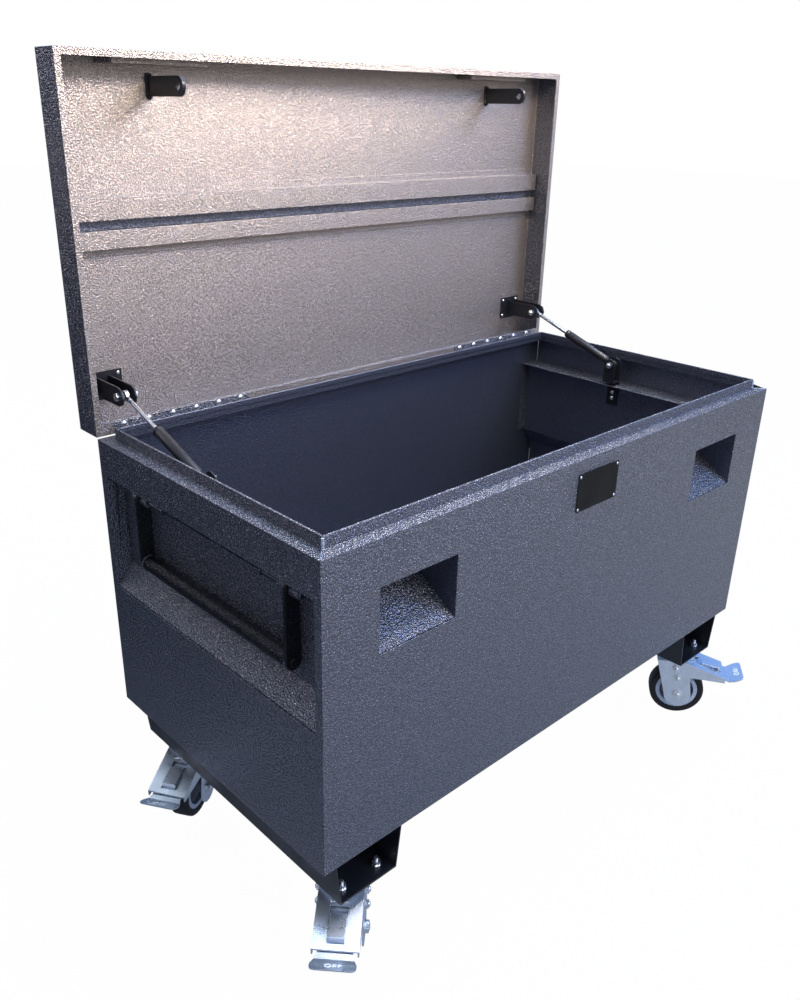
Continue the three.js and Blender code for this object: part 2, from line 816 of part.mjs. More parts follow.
function knuckle(range) {
  return bar('x', [0, hingeY, hingeZ], hinge.knuckleRadius, range);
}

function makeHinges() {
  const clear = hinge.knuckleRadius + fit;
  const through = (side) => bore(
    'x', [0, hingeY, hingeZ], hinge.boreRadius,
    [side * (hingeStart - over), side * (hingeStart + hinge.length + over)],
  );
  for (const [name, side] of [['left', -1], ['right', 1]]) {
    const wide = [side * hingeStart, side * (hingeStart + hinge.length)];
    const leafOuter = [hingeY + hinge.knuckleRadius - hinge.leaf, hingeY + hinge.knuckleRadius];
    const bodyRanges = knuckleRanges(side, 0);
    const bodyLeaf = join(
      block(wide, leafOuter, [ledgeZ - hinge.bodyLeaf, hingeZ - clear]),
      ...bodyRanges.map((range) => block(range, leafOuter, [hingeZ - clear - fit, hingeZ])),
      ...bodyRanges.map(knuckle),
    );
    addMesh(box, `${name}_body_hinge_leaf`, cut(bodyLeaf, through(side)), colours.charcoal);
    const leafUnder = [hingeZ + hinge.knuckleRadius - hinge.leaf, hingeZ + hinge.knuckleRadius];
    const lidRanges = knuckleRanges(side, 1);
    const middle = side * (hingeStart + hinge.length / 2);
    const rivets = Array.from({ length: hinge.rivets }, (_, i) => dome(
      'z',
      [middle + (i - (hinge.rivets - 1) / 2) * hinge.rivetPitch, hingeY - hinge.rivetOffset, 0],
      hinge.rivetRadius, hinge.rivetHead, leafUnder[0], -1,
    ));
    const lidLeaf = join(
      block(wide, [hingeY - hinge.lidLeaf, hingeY - clear], leafUnder),
      ...lidRanges.map((range) => block(range, [hingeY - clear - fit, hingeY], leafUnder)),
      ...lidRanges.map(knuckle),
      ...rivets,
    );
    addLidMesh(`${name}_lid_hinge_leaf`, cut(lidLeaf, through(side)), colours.zinc);
    addMesh(box, `${name}_hinge_pin`, bar('x', [0, hingeY, hingeZ], hinge.pinRadius, wide), colours.zinc);
  }
}

// A drop handle, drawn hanging: a round bar held by two flat arms that turn on pins between
// short tubes welded to a strip on the recess's back wall.
function makeHandle(name, side) {
  const x = side * (halfLength - handle.axis);
  const pinZ = ledgeZ - handle.pinFall;
  const barZ = pinZ - handle.drop;
  const halfArm = handle.armThickness / 2;
  const at = (end, away) => end * away - handle.lead;
  const armOutline = [
    ...arc(x, pinZ, handle.armHalfWidth, 0, 180),
    ...arc(x, barZ, handle.armEndRadius, 180, 360),
  ];
  const holeRadius = handleHinge.pinRadius + fit;
  const arms = [-1, 1].map((end) => {
    const faces = [at(end, armY - halfArm), at(end, armY + halfArm)];
    const hole = bore('y', [x, 0, pinZ], holeRadius, [faces[0] - end * over, faces[1] + end * over]);
    return cut(prism('y', armOutline, faces), hole);
  });
  const bossEnd = armY + halfArm + handle.bossProud;
  addMesh(box, `${name}_handle`, join(
    ...arms,
    bar('y', [x, 0, barZ], handle.barRadius, [at(-1, armY), at(1, armY)], tubeSides),
    bar('y', [x, 0, barZ], handle.bossRadius, [at(-1, bossEnd), at(1, bossEnd)], tubeSides),
  ), colours.black);

  const stripBack = recessBack + fit;
  const stripEnd = recessHalf - handleHinge.stripEnd;
  const strip = block(
    [side * stripBack, side * (stripBack + handleHinge.strip)],
    [-stripEnd, stripEnd],
    [pinZ - handleHinge.stripHalf, pinZ + handleHinge.stripHalf],
  );
  const inside = armY - halfArm - fit;
  const outside = armY + halfArm + fit;
  const tubeRanges = [-1, 1].flatMap((end) => [
    [at(end, inside - handleHinge.tubeLength), at(end, inside)],
    [at(end, outside), at(end, outside + handleHinge.tubeLength)],
  ]);
  const tubes = tubeRanges.map((range) => join(
    bar('y', [x, 0, pinZ], handleHinge.tubeRadius, range, tubeSides),
    block([side * stripBack, x], range, [pinZ - handleHinge.saddleHalf, pinZ + handleHinge.saddleHalf]),
  ));
  const outerEnd = outside + handleHinge.tubeLength;
  const through = bore('y', [x, 0, pinZ], holeRadius, [at(-1, outerEnd + over), at(1, outerEnd + over)]);
  addMesh(box, `${name}_handle_hinge`, cut(join(strip, ...tubes), through), colours.charcoalInside);

  for (const [place, end] of [['front', -1], ['rear', 1]]) {
    const tail = inside - handleHinge.tubeLength - handleHinge.pinTail;
    const head = outerEnd + fit;
    const shank = [at(end, tail), at(end, head + handleHinge.collar)];
    addMesh(box, `${name}_handle_${place}_pin`, join(
      bar('y', [x, 0, pinZ], handleHinge.pinRadius, shank),
      bar('y', [x, 0, pinZ], handleHinge.collarRadius, [at(end, head), at(end, head + handleHinge.collar)]),
      bar('y', [x, 0, pinZ], handleHinge.collarRadius, [at(end, tail), at(end, tail + handleHinge.collar)]),
    ), colours.zinc);
  }
}

// A trapezoid channel under the floor, open at its top and ends, that carries two casters.
function makeSkid(side) {
  const bottom = casterHeight;
  const top = panelBottom - fit;
  const lean = (skid.topWidth - skid.bottomWidth) / 2 / skid.height;
  const halfAt = (z, inset) => skid.bottomWidth / 2 + (z - bottom) * lean - inset;
  const centre = side * skidX;
  const wall = skid.sheet;
  const floor = bottom + wall;
  const outline = [
    [centre - halfAt(bottom, 0), bottom], [centre + halfAt(bottom, 0), bottom],
    [centre + halfAt(top, 0), top], [centre + halfAt(top, wall), top],
    [centre + halfAt(floor, wall), floor], [centre - halfAt(floor, wall), floor],
    [centre - halfAt(top, wall), top], [centre - halfAt(top, 0), top],
  ];
  const half = halfDepth - skid.setback;
  const holes = [-1, 1].flatMap((end) => boltPlaces(centre, end * casterY).map(([x, y]) => bore(
    'z', [x, y, 0], plate.boltRadius + fit, [bottom - over, floor + over],
  )));
  return cut(prism('y', outline, [-half, half]), ...holes);
}

function boltPlaces(x, y) {
  const half = plate.boltPitch / 2;
  return [[-half, -half], [half, -half], [half, half], [-half, half]].map(([dx, dy]) => [x + dx, y + dy]);
}

const halfFork = fork.outerWidth / 2;
const innerFork = halfFork - fork.sheet;

// The mounting plate with its bolts, nuts and kingpin, drawn about the kingpin on the ground.
function makePlate() {
  const card = prism('z', roundedRectangle(
    [-plate.width / 2, plate.width / 2], [-plate.length / 2, plate.length / 2], plate.corner,
  ), [plateUnder, plateTop]);
  const nutFoot = casterHeight + skid.sheet + fit;
  const bolts = boltPlaces(0, 0).map(([x, y]) => join(
    hexagon('z', [x, y, 0], plate.boltAcross, [plateUnder - plate.boltHead, plateUnder + fit]),
    bar('z', [x, y, 0], plate.boltRadius, [plateUnder, nutFoot + plate.nut + plate.thread]),
    hexagon('z', [x, y, 0], plate.boltAcross, [nutFoot, nutFoot + plate.nut]),
  ));
  const nutTop = crownUnder - fit;
  return join(
    card,
    ...bolts,
    bar('z', [0, 0, 0], plate.kingpinRadius, [nutTop - plate.kingpinNut, plateUnder + fit]),
    hexagon('z', [0, 0, 0], plate.kingpinAcross, [nutTop - plate.kingpinNut, nutTop]),
  );
}

// Height of the brake cover's upper face at a distance along the trail direction.
function coverTop(u) {
  return crownTop - Math.max(0, u - fork.bend) * fork.drop / (fork.reach - fork.bend);
}

// A pressed fork whose crown runs on as a sloping cover over the brake lever. The local X axis
// is the trail direction, and Y runs along the axle.
function makeFork() {
  const axleZ = wheel.radius;
  const throatZ = crownTop - fork.throatFall;
  const outline = [
    [-fork.back, crownTop],
    ...arc(caster.trail, axleZ, fork.legRadius, 180, 360, 2 * roundSteps),
    [fork.throat, throatZ], [fork.skirtStart, throatZ],
    [fork.reach, coverTop(fork.reach) - fork.skirt], [fork.reach, coverTop(fork.reach)],
    [fork.bend, crownTop],
  ];
  const under = (u) => coverTop(u) - fork.crown;
  const channel = [
    [-fork.back - over, -over], [fork.reach + over, -over],
    [fork.reach + over, under(fork.reach + over)], [fork.bend, crownUnder],
    [-fork.back - over, crownUnder],
  ];
  const shell = cut(
    prism('y', outline, [-halfFork, halfFork]),
    prism('y', channel, [-innerFork, innerFork]),
    block(
      [fork.windowStart, fork.windowEnd],
      [-fork.windowWidth / 2, fork.windowWidth / 2],
      [coverTop(fork.reach) - over, crownTop + over],
    ),
  );
  const race = bar('z', [0, 0, 0], caster.raceRadius, [crownTop - fit, raceTop], 2 * pinSides);
  const kingpinHole = bore('z', [0, 0, 0], plate.kingpinRadius + fit, [crownUnder - over, raceTop + over]);
  const axleAt = [caster.trail, 0, axleZ];
  const spacerInner = wheel.hubWidth / 2 + fit;
  const axle = join(
    bar('y', axleAt, wheel.axleRadius, [-halfFork, halfFork]),
    ...[-1, 1].flatMap((end) => [
      bar('y', axleAt, fork.spacerRadius, [end * spacerInner, end * (innerFork + fit)]),
      hexagon('y', axleAt, fork.axleAcross, [end * (halfFork - fit), end * (halfFork + fork.axleHead)]),
    ]),
  );
  return join(cut(shell.add(race), kingpinHole), axle, ...sideBolts());
}

const leverAt = [caster.trail - fork.upperBoltLead, 0, crownTop - fork.upperBoltFall];
const armOuter = innerFork - lever.armGap;
const armInner = armOuter - lever.arm;

// Two bolts in each leg: the upper pair carries the brake lever, the lower pair its spring.
function sideBolts() {
  const lowerAt = [caster.trail - fork.lowerBoltLead, 0, crownTop - fork.lowerBoltFall];
  return [-1, 1].flatMap((end) => [leverAt, lowerAt].map((centre) => join(
    bar('y', centre, fork.boltRadius, [
      end * (armInner - fit), end * (halfFork + fork.boltHead + fork.boltTail),
    ]),
    hexagon('y', centre, fork.boltAcross, [end * (halfFork - fit), end * (halfFork + fork.boltHead)]),
  )));
}

// The brake lever in its free position: two arms, a cross plate under the cover with the brake
// shoe and the raised tongue, and the flared pedal.
function makeLever() {
  const top = (u) => coverTop(u) - fork.crown - lever.coverGap;
  const t = lever.thickness;
  const spine = [
    [lever.start, top(lever.start)], [lever.neck, top(lever.neck)],
    [lever.dip, top(lever.neck) - lever.dipFall], [lever.end, crownTop - lever.endFall],
  ];
  const under = spine.map(([u, z]) => [u, z - t]).reverse();
  const halfNeck = lever.neckWidth / 2;
  const halfEnd = lever.endWidth / 2;
  const sheet = prism('y', [...spine, ...under], [-halfEnd, halfEnd]);
  const corner = lever.endCorner;
  const plan = [
    [lever.start, -halfNeck], [lever.neck + t, -halfNeck],
    [lever.end - 2 * corner, -halfEnd], ...arc(lever.end - corner, corner - halfEnd, corner, -90, 0, 3),
    ...arc(lever.end - corner, halfEnd - corner, corner, 0, 90, 3), [lever.end - 2 * corner, halfEnd],
    [lever.neck + t, halfNeck], [lever.start, halfNeck],
  ];
  const pedal = sheet.intersect(prism('z', plan, [0, crownTop]));
  const axleZ = wheel.radius;
  const shoeRadius = wheel.radius + lever.shoeGap;
  const angleAt = (u) => THREE.MathUtils.radToDeg(Math.acos((u - caster.trail) / shoeRadius));
  const shoe = prism('y', [
    [lever.start, top(lever.start) - t / 2], [lever.shoeEnd, top(lever.shoeEnd) - t / 2],
    ...arc(caster.trail, axleZ, shoeRadius, angleAt(lever.shoeEnd), angleAt(lever.start), 3),
  ], [-lever.shoeWidth / 2, lever.shoeWidth / 2]);
  const bendZ = coverTop(lever.tongueBend) + lever.tongueRise;
  const endZ = bendZ - lever.tongueFall;
  const rib = lever.tongueEnd - t;
  const tongue = prism('y', [
    [lever.tongueStart, top(lever.tongueStart) - t / 2], [lever.tongueBend, bendZ],
    [lever.tongueEnd, endZ], [lever.tongueEnd, top(lever.tongueEnd) - t / 2],
    [rib, top(rib) - t / 2], [rib, endZ - t], [lever.tongueBend + t, bendZ - t],
    [lever.tongueStart + t, top(lever.tongueStart + t) - t],
  ], [-lever.tongueWidth / 2, lever.tongueWidth / 2]);
  const eyeCentre = [leverAt[0], leverAt[2]];
  const arms = [-1, 1].map((end) => {
    const faces = [end * armInner, end * armOuter];
    const outline = [
      ...arc(...eyeCentre, lever.eyeRadius, 90, 270),
      [lever.start, top(lever.start) - t - lever.eyeRadius], [lever.shoeEnd, top(lever.shoeEnd) - t],
      [lever.shoeEnd, top(lever.shoeEnd)], [lever.start, top(lever.start)],
    ];
    const hole = bore('y', leverAt, fork.boltRadius + fit, [faces[0] - end * over, faces[1] + end * over]);
    return cut(prism('y', outline, faces), hole);
  });
  const crossPlate = prism('y', [
    [lever.start, top(lever.start)], [lever.shoeEnd, top(lever.shoeEnd)],
    [lever.shoeEnd, top(lever.shoeEnd) - t], [lever.start, top(lever.start) - t],
  ], [-armOuter, armOuter]);
  return join(pedal, crossPlate, shoe, tongue, ...arms);
}

function makeTyre() {
  const half = wheel.width / 2;
  const inner = wheel.rimRadius + fit;
  const shoulder = wheel.shoulder;
  const bead = wheel.rimWidth / 2;
  const profile = [
    [inner, -bead], [wheel.radius - shoulder, -half], [wheel.radius - shoulder / 4, shoulder - half],
    [wheel.radius, 0], [wheel.radius - shoulder / 4, half - shoulder],
    [wheel.radius - shoulder, half], [inner, bead], [inner, -bead],
  ];
  return turned('y', [0, 0, 0], profile, wheelSides);
}

// A moulded rim: an outer ring, a thin web and a hub bored for the axle.
function makeRim() {
  const half = wheel.rimWidth / 2;
  const halfWeb = wheel.web / 2;
  const halfHub = wheel.hubWidth / 2;
  const boreRadius = wheel.axleRadius + fit;
  const side = (end) => [
    [boreRadius, end * halfHub], [wheel.hubRadius, end * halfHub], [wheel.hubRadius, end * halfWeb],
    [wheel.rimInner, end * halfWeb], [wheel.rimInner, end * half], [wheel.rimRadius, end * half],
  ];
  const profile = [...side(-1), ...side(1).reverse(), [boreRadius, -halfHub]];
  return turned('y', [0, 0, 0], profile, wheelSides);
}

function makeCasters() {
  const plateSolid = makePlate();
  const forkSolid = makeFork();
  const leverSolid = makeLever();
  const tyre = makeTyre();
  const rim = makeRim();
  for (const [name, yaw] of Object.entries(casterYaw)) {
    const x = name.endsWith('left') ? -skidX : skidX;
    const y = name.startsWith('front') ? -casterY : casterY;
    const fixed = new THREE.Group();
    fixed.position.set(x, y, 0);
    box.add(fixed);
    addMesh(fixed, `${name}_caster_plate`, plateSolid, colours.zinc);
    const swivel = new THREE.Group();
    swivel.rotation.z = THREE.MathUtils.degToRad(yaw);
    fixed.add(swivel);
    addMesh(swivel, `${name}_caster_fork`, forkSolid, colours.zinc);
    addMesh(swivel, `${name}_brake_lever`, leverSolid, colours.zinc);
    const spin = new THREE.Group();
    spin.position.set(caster.trail, 0, wheel.radius);
    swivel.add(spin);
    addMesh(spin, `${name}_tyre`, tyre, colours.rubber);
    addMesh(spin, `${name}_rim`, rim, colours.grey);
  }
}

makeBody();
makeLid();
makeHinges();
makeStruts();
for (const [name, side] of [['left', -1], ['right', 1]]) {
  makeHandle(name, side);
  addMesh(box, `${name}_skid`, makeSkid(side), colours.black);
}
makeCasters();

export default box;
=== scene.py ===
import json
import math

import bmesh
import bpy
import numpy as np
from mathutils import Matrix, Vector

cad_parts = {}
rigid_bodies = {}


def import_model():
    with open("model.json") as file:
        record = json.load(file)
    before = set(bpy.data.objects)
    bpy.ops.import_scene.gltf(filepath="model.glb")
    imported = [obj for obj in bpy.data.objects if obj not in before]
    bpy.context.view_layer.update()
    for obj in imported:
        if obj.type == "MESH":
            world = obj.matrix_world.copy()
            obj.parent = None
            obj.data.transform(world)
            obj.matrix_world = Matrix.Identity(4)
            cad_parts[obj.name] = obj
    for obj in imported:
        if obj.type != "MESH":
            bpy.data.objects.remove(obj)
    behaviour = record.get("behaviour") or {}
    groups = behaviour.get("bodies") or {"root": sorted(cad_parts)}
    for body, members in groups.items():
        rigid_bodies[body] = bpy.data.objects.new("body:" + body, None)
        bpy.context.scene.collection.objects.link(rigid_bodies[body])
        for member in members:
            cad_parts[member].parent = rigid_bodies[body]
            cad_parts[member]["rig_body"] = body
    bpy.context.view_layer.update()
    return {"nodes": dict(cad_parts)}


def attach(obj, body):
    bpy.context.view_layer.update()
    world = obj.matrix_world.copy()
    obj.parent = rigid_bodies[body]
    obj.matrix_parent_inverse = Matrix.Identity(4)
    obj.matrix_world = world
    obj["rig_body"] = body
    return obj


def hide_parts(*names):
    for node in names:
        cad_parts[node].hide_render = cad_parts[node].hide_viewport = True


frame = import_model()
nodes = frame["nodes"]
scene = bpy.context.scene
scene.view_settings.view_transform = "Standard"
print("frame loaded:", len(nodes), "nodes")


# colours are sRGB hex values, turned to linear here
def toLinear(hexColour):
    channels = np.array([int(hexColour[i:i + 2], 16) for i in (1, 3, 5)]) / 255
    linear = np.where(channels <= 0.04045, channels / 12.92, ((channels + 0.055) / 1.055) ** 2.4)
    return (*linear.tolist(), 1.0)


def scaled(colour, factor):
    return (*(channel * factor for channel in colour[:3]), 1.0)


def addNode(tree, kind, settings=None, inputs=None, links=None):
    node = tree.nodes.new(kind)
    for key, value in (settings or {}).items():
        setattr(node, key, value)
    for key, value in (inputs or {}).items():
        node.inputs[key].default_value = value
    for key, source in (links or {}).items():
        tree.links.new(source, node.inputs[key])
    return node


def startMaterial(name):
    material = bpy.data.materials.new(name)
    material.use_nodes = True
    tree = material.node_tree
    shader = tree.nodes["Principled BSDF"]
    where = addNode(tree, "ShaderNodeTexCoord").outputs["Object"]
    return material, tree, shader, where


def setRamp(node, stops):
    ramp = node.color_ramp
    ramp.elements[0].position, ramp.elements[0].color = stops[0]
    ramp.elements[1].position, ramp.elements[1].color = stops[-1]
    for position, colour in stops[1:-1]:
        ramp.elements.new(position).color = colour


# Hammertone powder coat: the cured film pulls into small domed islands about 3 mm across, so it
# glitters like fine leather. Its metal flake reflects the room, hence the mostly metallic base.
def makeHammertone(name, vein, island, roughness, metallic, grain=0.0027, relief=0.9):
    material, tree, shader, where = startMaterial(name)
    warp = addNode(tree, "ShaderNodeTexNoise", None,
                   {"Scale": 0.8 / grain, "Detail": 1.0}, {"Vector": where})
    shift = addNode(tree, "ShaderNodeVectorMath", {"operation": "SCALE"}, {"Scale": 0.9 * grain},
                    {0: warp.outputs["Color"]})
    bent = addNode(tree, "ShaderNodeVectorMath", {"operation": "ADD"}, None,
                   {0: where, 1: shift.outputs["Vector"]})
    cells = addNode(tree, "ShaderNodeTexVoronoi", {"feature": "SMOOTH_F1"},
                    {"Scale": 1 / grain, "Smoothness": 0.35}, {"Vector": bent.outputs["Vector"]})
    tone = addNode(tree, "ShaderNodeValToRGB", None, None, {"Fac": cells.outputs["Distance"]})
    setRamp(tone, [(0.30, toLinear(island)), (0.62, toLinear(vein))])
    gloss = addNode(tree, "ShaderNodeMapRange", None,
                    {"From Min": 0.2, "From Max": 0.6,
                     "To Min": roughness - 0.04, "To Max": roughness + 0.12},
                    {"Value": cells.outputs["Distance"]})
    bump = addNode(tree, "ShaderNodeBump", {"invert": True},
                   {"Strength": 1.0, "Distance": 0.0013 * relief},
                   {"Height": cells.outputs["Distance"]})
    tree.links.new(tone.outputs["Color"], shader.inputs["Base Color"])
    tree.links.new(gloss.outputs["Result"], shader.inputs["Roughness"])
    tree.links.new(bump.outputs["Normal"], shader.inputs["Normal"])
    shader.inputs["Metallic"].default_value = metallic
    return material


# Plain satin powder coat with a faint orange peel of about 1.5 mm, rubbed to a sheen at places.
def makeSatinCoat(name, colour, roughness, peel=0.0016, sheen=0.5):
    material, tree, shader, where = startMaterial(name)
    peelNoise = addNode(tree, "ShaderNodeTexNoise", None,
                        {"Scale": 1 / peel, "Detail": 2.0}, {"Vector": where})
    bump = addNode(tree, "ShaderNodeBump", None,
                   {"Strength": 0.16, "Distance": 0.0003}, {"Height": peelNoise.outputs["Fac"]})
    cloud = addNode(tree, "ShaderNodeTexNoise", None,
                    {"Scale": 22.0, "Detail": 4.0}, {"Vector": where})
    gloss = addNode(tree, "ShaderNodeMapRange", None,
                    {"From Min": 0.3, "From Max": 0.7,
                     "To Min": roughness - 0.07, "To Max": roughness + 0.1},
                    {"Value": cloud.outputs["Fac"]})
    tone = addNode(tree, "ShaderNodeMix", {"data_type": "RGBA"},
                   {"A": toLinear(colour), "B": scaled(toLinear(colour), 1.5)},
                   {"Factor": cloud.outputs["Fac"]})
    tree.links.new(tone.outputs[2], shader.inputs["Base Color"])
    shader.inputs["Specular IOR Level"].default_value = sheen
    tree.links.new(gloss.outputs["Result"], shader.inputs["Roughness"])
    tree.links.new(bump.outputs["Normal"], shader.inputs["Normal"])
    return material


# Bright zinc plate on pressed steel: bluish silver with soft clouds and faint drawing streaks.
def makeZinc(name, colour, roughness, cloudSize=0.02):
    material, tree, shader, where = startMaterial(name)
    cloud = addNode(tree, "ShaderNodeTexNoise", None,
                    {"Scale": 1 / cloudSize, "Detail": 5.0, "Roughness": 0.6}, {"Vector": where})
    tone = addNode(tree, "ShaderNodeValToRGB", None, None, {"Fac": cloud.outputs["Fac"]})
    base = toLinear(colour)
    setRamp(tone, [(0.3, scaled(base, 0.85)), (0.7, base)])
    gloss = addNode(tree, "ShaderNodeMapRange", None,
                    {"From Min": 0.25, "From Max": 0.75,
                     "To Min": roughness + 0.1, "To Max": roughness - 0.04},
                    {"Value": cloud.outputs["Fac"]})
    grain = addNode(tree, "ShaderNodeTexNoise", None,
                    {"Scale": 900.0, "Detail": 2.0}, {"Vector": where})
    bump = addNode(tree, "ShaderNodeBump", None,
                   {"Strength": 0.08, "Distance": 0.0002}, {"Height": grain.outputs["Fac"]})
    tree.links.new(tone.outputs["Color"], shader.inputs["Base Color"])
    tree.links.new(gloss.outputs["Result"], shader.inputs["Roughness"])
    tree.links.new(bump.outputs["Normal"], shader.inputs["Normal"])
    shader.inputs["Metallic"].default_value = 0.93
    return material


# Tyre rubber: near black, dull, with dust in its pores.
def makeRubber(name, colour):
    material, tree, shader, where = startMaterial(name)
    dust = addNode(tree, "ShaderNodeTexNoise", None,
                   {"Scale": 60.0, "Detail": 6.0, "Roughness": 0.65}, {"Vector": where})
    tone = addNode(tree, "ShaderNodeValToRGB", None, None, {"Fac": dust.outputs["Fac"]})
    setRamp(tone, [(0.35, toLinear(colour)), (0.8, toLinear("#1d1f23"))])
    gloss = addNode(tree, "ShaderNodeMapRange", None,
                    {"From Min": 0.3, "From Max": 0.7, "To Min": 0.5, "To Max": 0.75},
                    {"Value": dust.outputs["Fac"]})
    pores = addNode(tree, "ShaderNodeTexNoise", None,
                    {"Scale": 700.0, "Detail": 2.0}, {"Vector": where})
    bump = addNode(tree, "ShaderNodeBump", None,
                   {"Strength": 0.2, "Distance": 0.0003}, {"Height": pores.outputs["Fac"]})
    tree.links.new(tone.outputs["Color"], shader.inputs["Base Color"])
    tree.links.new(gloss.outputs["Result"], shader.inputs["Roughness"])
    tree.links.new(bump.outputs["Normal"], shader.inputs["Normal"])
    return material


# Moulded nylon: pale grey, slightly waxy, with mould texture of about half a millimetre.
def makeNylon(name, colour):
    material, tree, shader, where = startMaterial(name)
    cloud = addNode(tree, "ShaderNodeTexNoise", None,
                    {"Scale": 40.0, "Detail": 4.0}, {"Vector": where})
    tone = addNode(tree, "ShaderNodeValToRGB", None, None, {"Fac": cloud.outputs["Fac"]})
    base = toLinear(colour)
    setRamp(tone, [(0.3, scaled(base, 0.8)), (0.7, base)])
    mould = addNode(tree, "ShaderNodeTexNoise", None,
                    {"Scale": 1800.0, "Detail": 1.0}, {"Vector": where})
    bump = addNode(tree, "ShaderNodeBump", None,
                   {"Strength": 0.1, "Distance": 0.0002}, {"Height": mould.outputs["Fac"]})
    tree.links.new(tone.outputs["Color"], shader.inputs["Base Color"])
    tree.links.new(bump.outputs["Normal"], shader.inputs["Normal"])
    shader.inputs["Roughness"].default_value = 0.45
    return material


# Hard chrome on a ground rod, with very fine haze.
def makeChrome(name):
    material, tree, shader, where = startMaterial(name)
    haze = addNode(tree, "ShaderNodeTexNoise", None,
                   {"Scale": 300.0, "Detail": 3.0}, {"Vector": where})
    gloss = addNode(tree, "ShaderNodeMapRange", None,
                    {"From Min": 0.3, "From Max": 0.7, "To Min": 0.08, "To Max": 0.18},
                    {"Value": haze.outputs["Fac"]})
    tree.links.new(gloss.outputs["Result"], shader.inputs["Roughness"])
    shader.inputs["Base Color"].default_value = toLinear("#dfe3e8")
    shader.inputs["Metallic"].default_value = 1.0
    return material


finishes = {
    "bodyCoat": makeHammertone("charcoal_hammertone_powder_coat", "#6b6e77", "#868993", 0.2, 0.85,
                               relief=1.35),
    # a darker, bluer copy of the body paint for faces inside the box and the lock pockets: painted
    # shade, as the box has one paint
    "insideCoat": makeHammertone("hammertone_with_painted_shade", "#5e6474", "#6f7585", 0.3, 0.85,
                                 relief=0.6),
    # a lighter, warmer copy of the body paint for the lid's inner side and the pry bars: painted
    # light and painted sheen
    "lidCoat": makeHammertone("hammertone_with_painted_light", "#8d8681", "#c6bbb3", 0.25, 0.85,
                              grain=0.0022, relief=0.8),
    "handleCoat": makeHammertone("dark_hammertone_powder_coat", "#1a1c20", "#26292e", 0.26, 0.6),
    "blackCoat": makeSatinCoat("black_satin_powder_coat", "#15171c", 0.38),
    "weldMetal": makeSatinCoat("painted_weld_metal", "#3a3c42", 0.24, 0.0012),
    # pale weld beads for the rim's front corners: real welds whose colour is painted highlight
    "weldPaintedHighlight": makeSatinCoat("weld_with_painted_highlight", "#8e97a6", 0.2, 0.0012),
    "markWhite": makeSatinCoat("white_pad_printing", "#eef0f2", 0.4),
    "plateBlack": makeSatinCoat("black_anodised_plate", "#040506", 0.5, 0.0009, 0.2),
    "zinc": makeZinc("bright_zinc_plate", "#e6eff8", 0.27),
    "dullZinc": makeZinc("dull_zinc_pins", "#5d626c", 0.36, 0.004),
    "brightZinc": makeZinc("bright_zinc_fasteners", "#eef3f7", 0.16, 0.006),
    "rubber": makeRubber("black_tyre_rubber", "#0b0c0e"),
    "nylon": makeNylon("grey_moulded_nylon", "#6d7580"),
    "rimRing": makeNylon("pale_moulded_ring", "#c9dbe9"),
    "chrome": makeChrome("hard_chrome"),
}
print("materials ready:", len(finishes))


def setFinish(piece, key):
    if piece.data.materials:
        piece.data.materials[0] = finishes[key]
    else:
        piece.data.materials.append(finishes[key])


def roundEdges(piece, width, segments, angle):
    rounding = piece.modifiers.new("edges", "BEVEL")
    rounding.width = width
    rounding.segments = segments
    rounding.limit_method = "ANGLE"
    rounding.angle_limit = math.radians(angle)
    rounding.use_clamp_overlap = True


dressing = {
    "mergeWithin": 2e-5,  # metres between points that count as one
    "flatWithin": 0.6,  # degrees between faces that count as one plane
    "roundedAbove": 28,  # degrees at an edge that gets rounded
    "facedAbove": 0.45,  # cosine between a face and the faced direction
}


# a copy of a CAD solid with its double points merged, its flat faces joined and its edges rounded;
# faces that look mostly along the faced direction take the second finish, which is how painted
# light and painted shade are laid on by the way a face looks
def dressNode(node, finish, edge, segments=2, faced=None, facedFinish=None):
    mesh = nodes[node].data.copy()
    work = bmesh.new()
    work.from_mesh(mesh)
    bmesh.ops.remove_doubles(work, verts=work.verts, dist=dressing["mergeWithin"])
    bmesh.ops.dissolve_limit(work, angle_limit=math.radians(dressing["flatWithin"]),
                             verts=work.verts, edges=work.edges)
    work.normal_update()
    for face in work.faces:
        face.smooth = True
        face.material_index = int(faced is not None
                                  and face.normal.dot(Vector(faced)) > dressing["facedAbove"])
    work.to_mesh(mesh)
    work.free()
    piece = bpy.data.objects.new(node + "_dressed", mesh)
    scene.collection.objects.link(piece)
    roundEdges(piece, edge, segments, dressing["roundedAbove"])
    weighted = piece.modifiers.new("normals", "WEIGHTED_NORMAL")
    weighted.mode = "FACE_AREA"
    weighted.weight = 50
    weighted.keep_sharp = True
    setFinish(piece, finish)
    if facedFinish:
        piece.data.materials.append(finishes[facedFinish])
    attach(piece, nodes[node]["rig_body"])
    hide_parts(node)
    return piece


def unit(vector):
    vector = np.asarray(vector, float)
    return vector / np.linalg.norm(vector)


# an axis and two directions at right angles to it and to each other
def acrossAxis(axis):
    axis = unit(axis)
    hint = np.array([0, 0, 1.0]) if abs(axis[2]) < 0.9 else np.array([1.0, 0, 0])
    first = unit(np.cross(hint, axis))
    return axis, first, np.cross(axis, first)


# a profile of (radius, distance) pairs turned about an axis: base + axis * distance plus radius
# times the cosine and sine of the turn; a loop profile closes on itself
def lathe(profile, base, axis, steps=32, loop=False):
    profile = np.array(profile, float)
    axis, first, second = acrossAxis(axis)
    turn = np.linspace(0, 2 * np.pi, steps, endpoint=False)
    ring = np.cos(turn)[:, None] * first + np.sin(turn)[:, None] * second
    radius, distance = profile[:, 0][:, None, None], profile[:, 1][:, None, None]
    points = np.asarray(base, float) + distance * axis + radius * ring
    return points, loop, True


# a quarter ellipse turned about its axis, on a flat foot
def domeHead(base, axis, radius, height):
    rise = np.linspace(0, np.pi / 2, 6)
    profile = [(0, 0)] + list(zip(radius * np.cos(rise), height * np.sin(rise)))
    return lathe(profile, base, axis, 20)


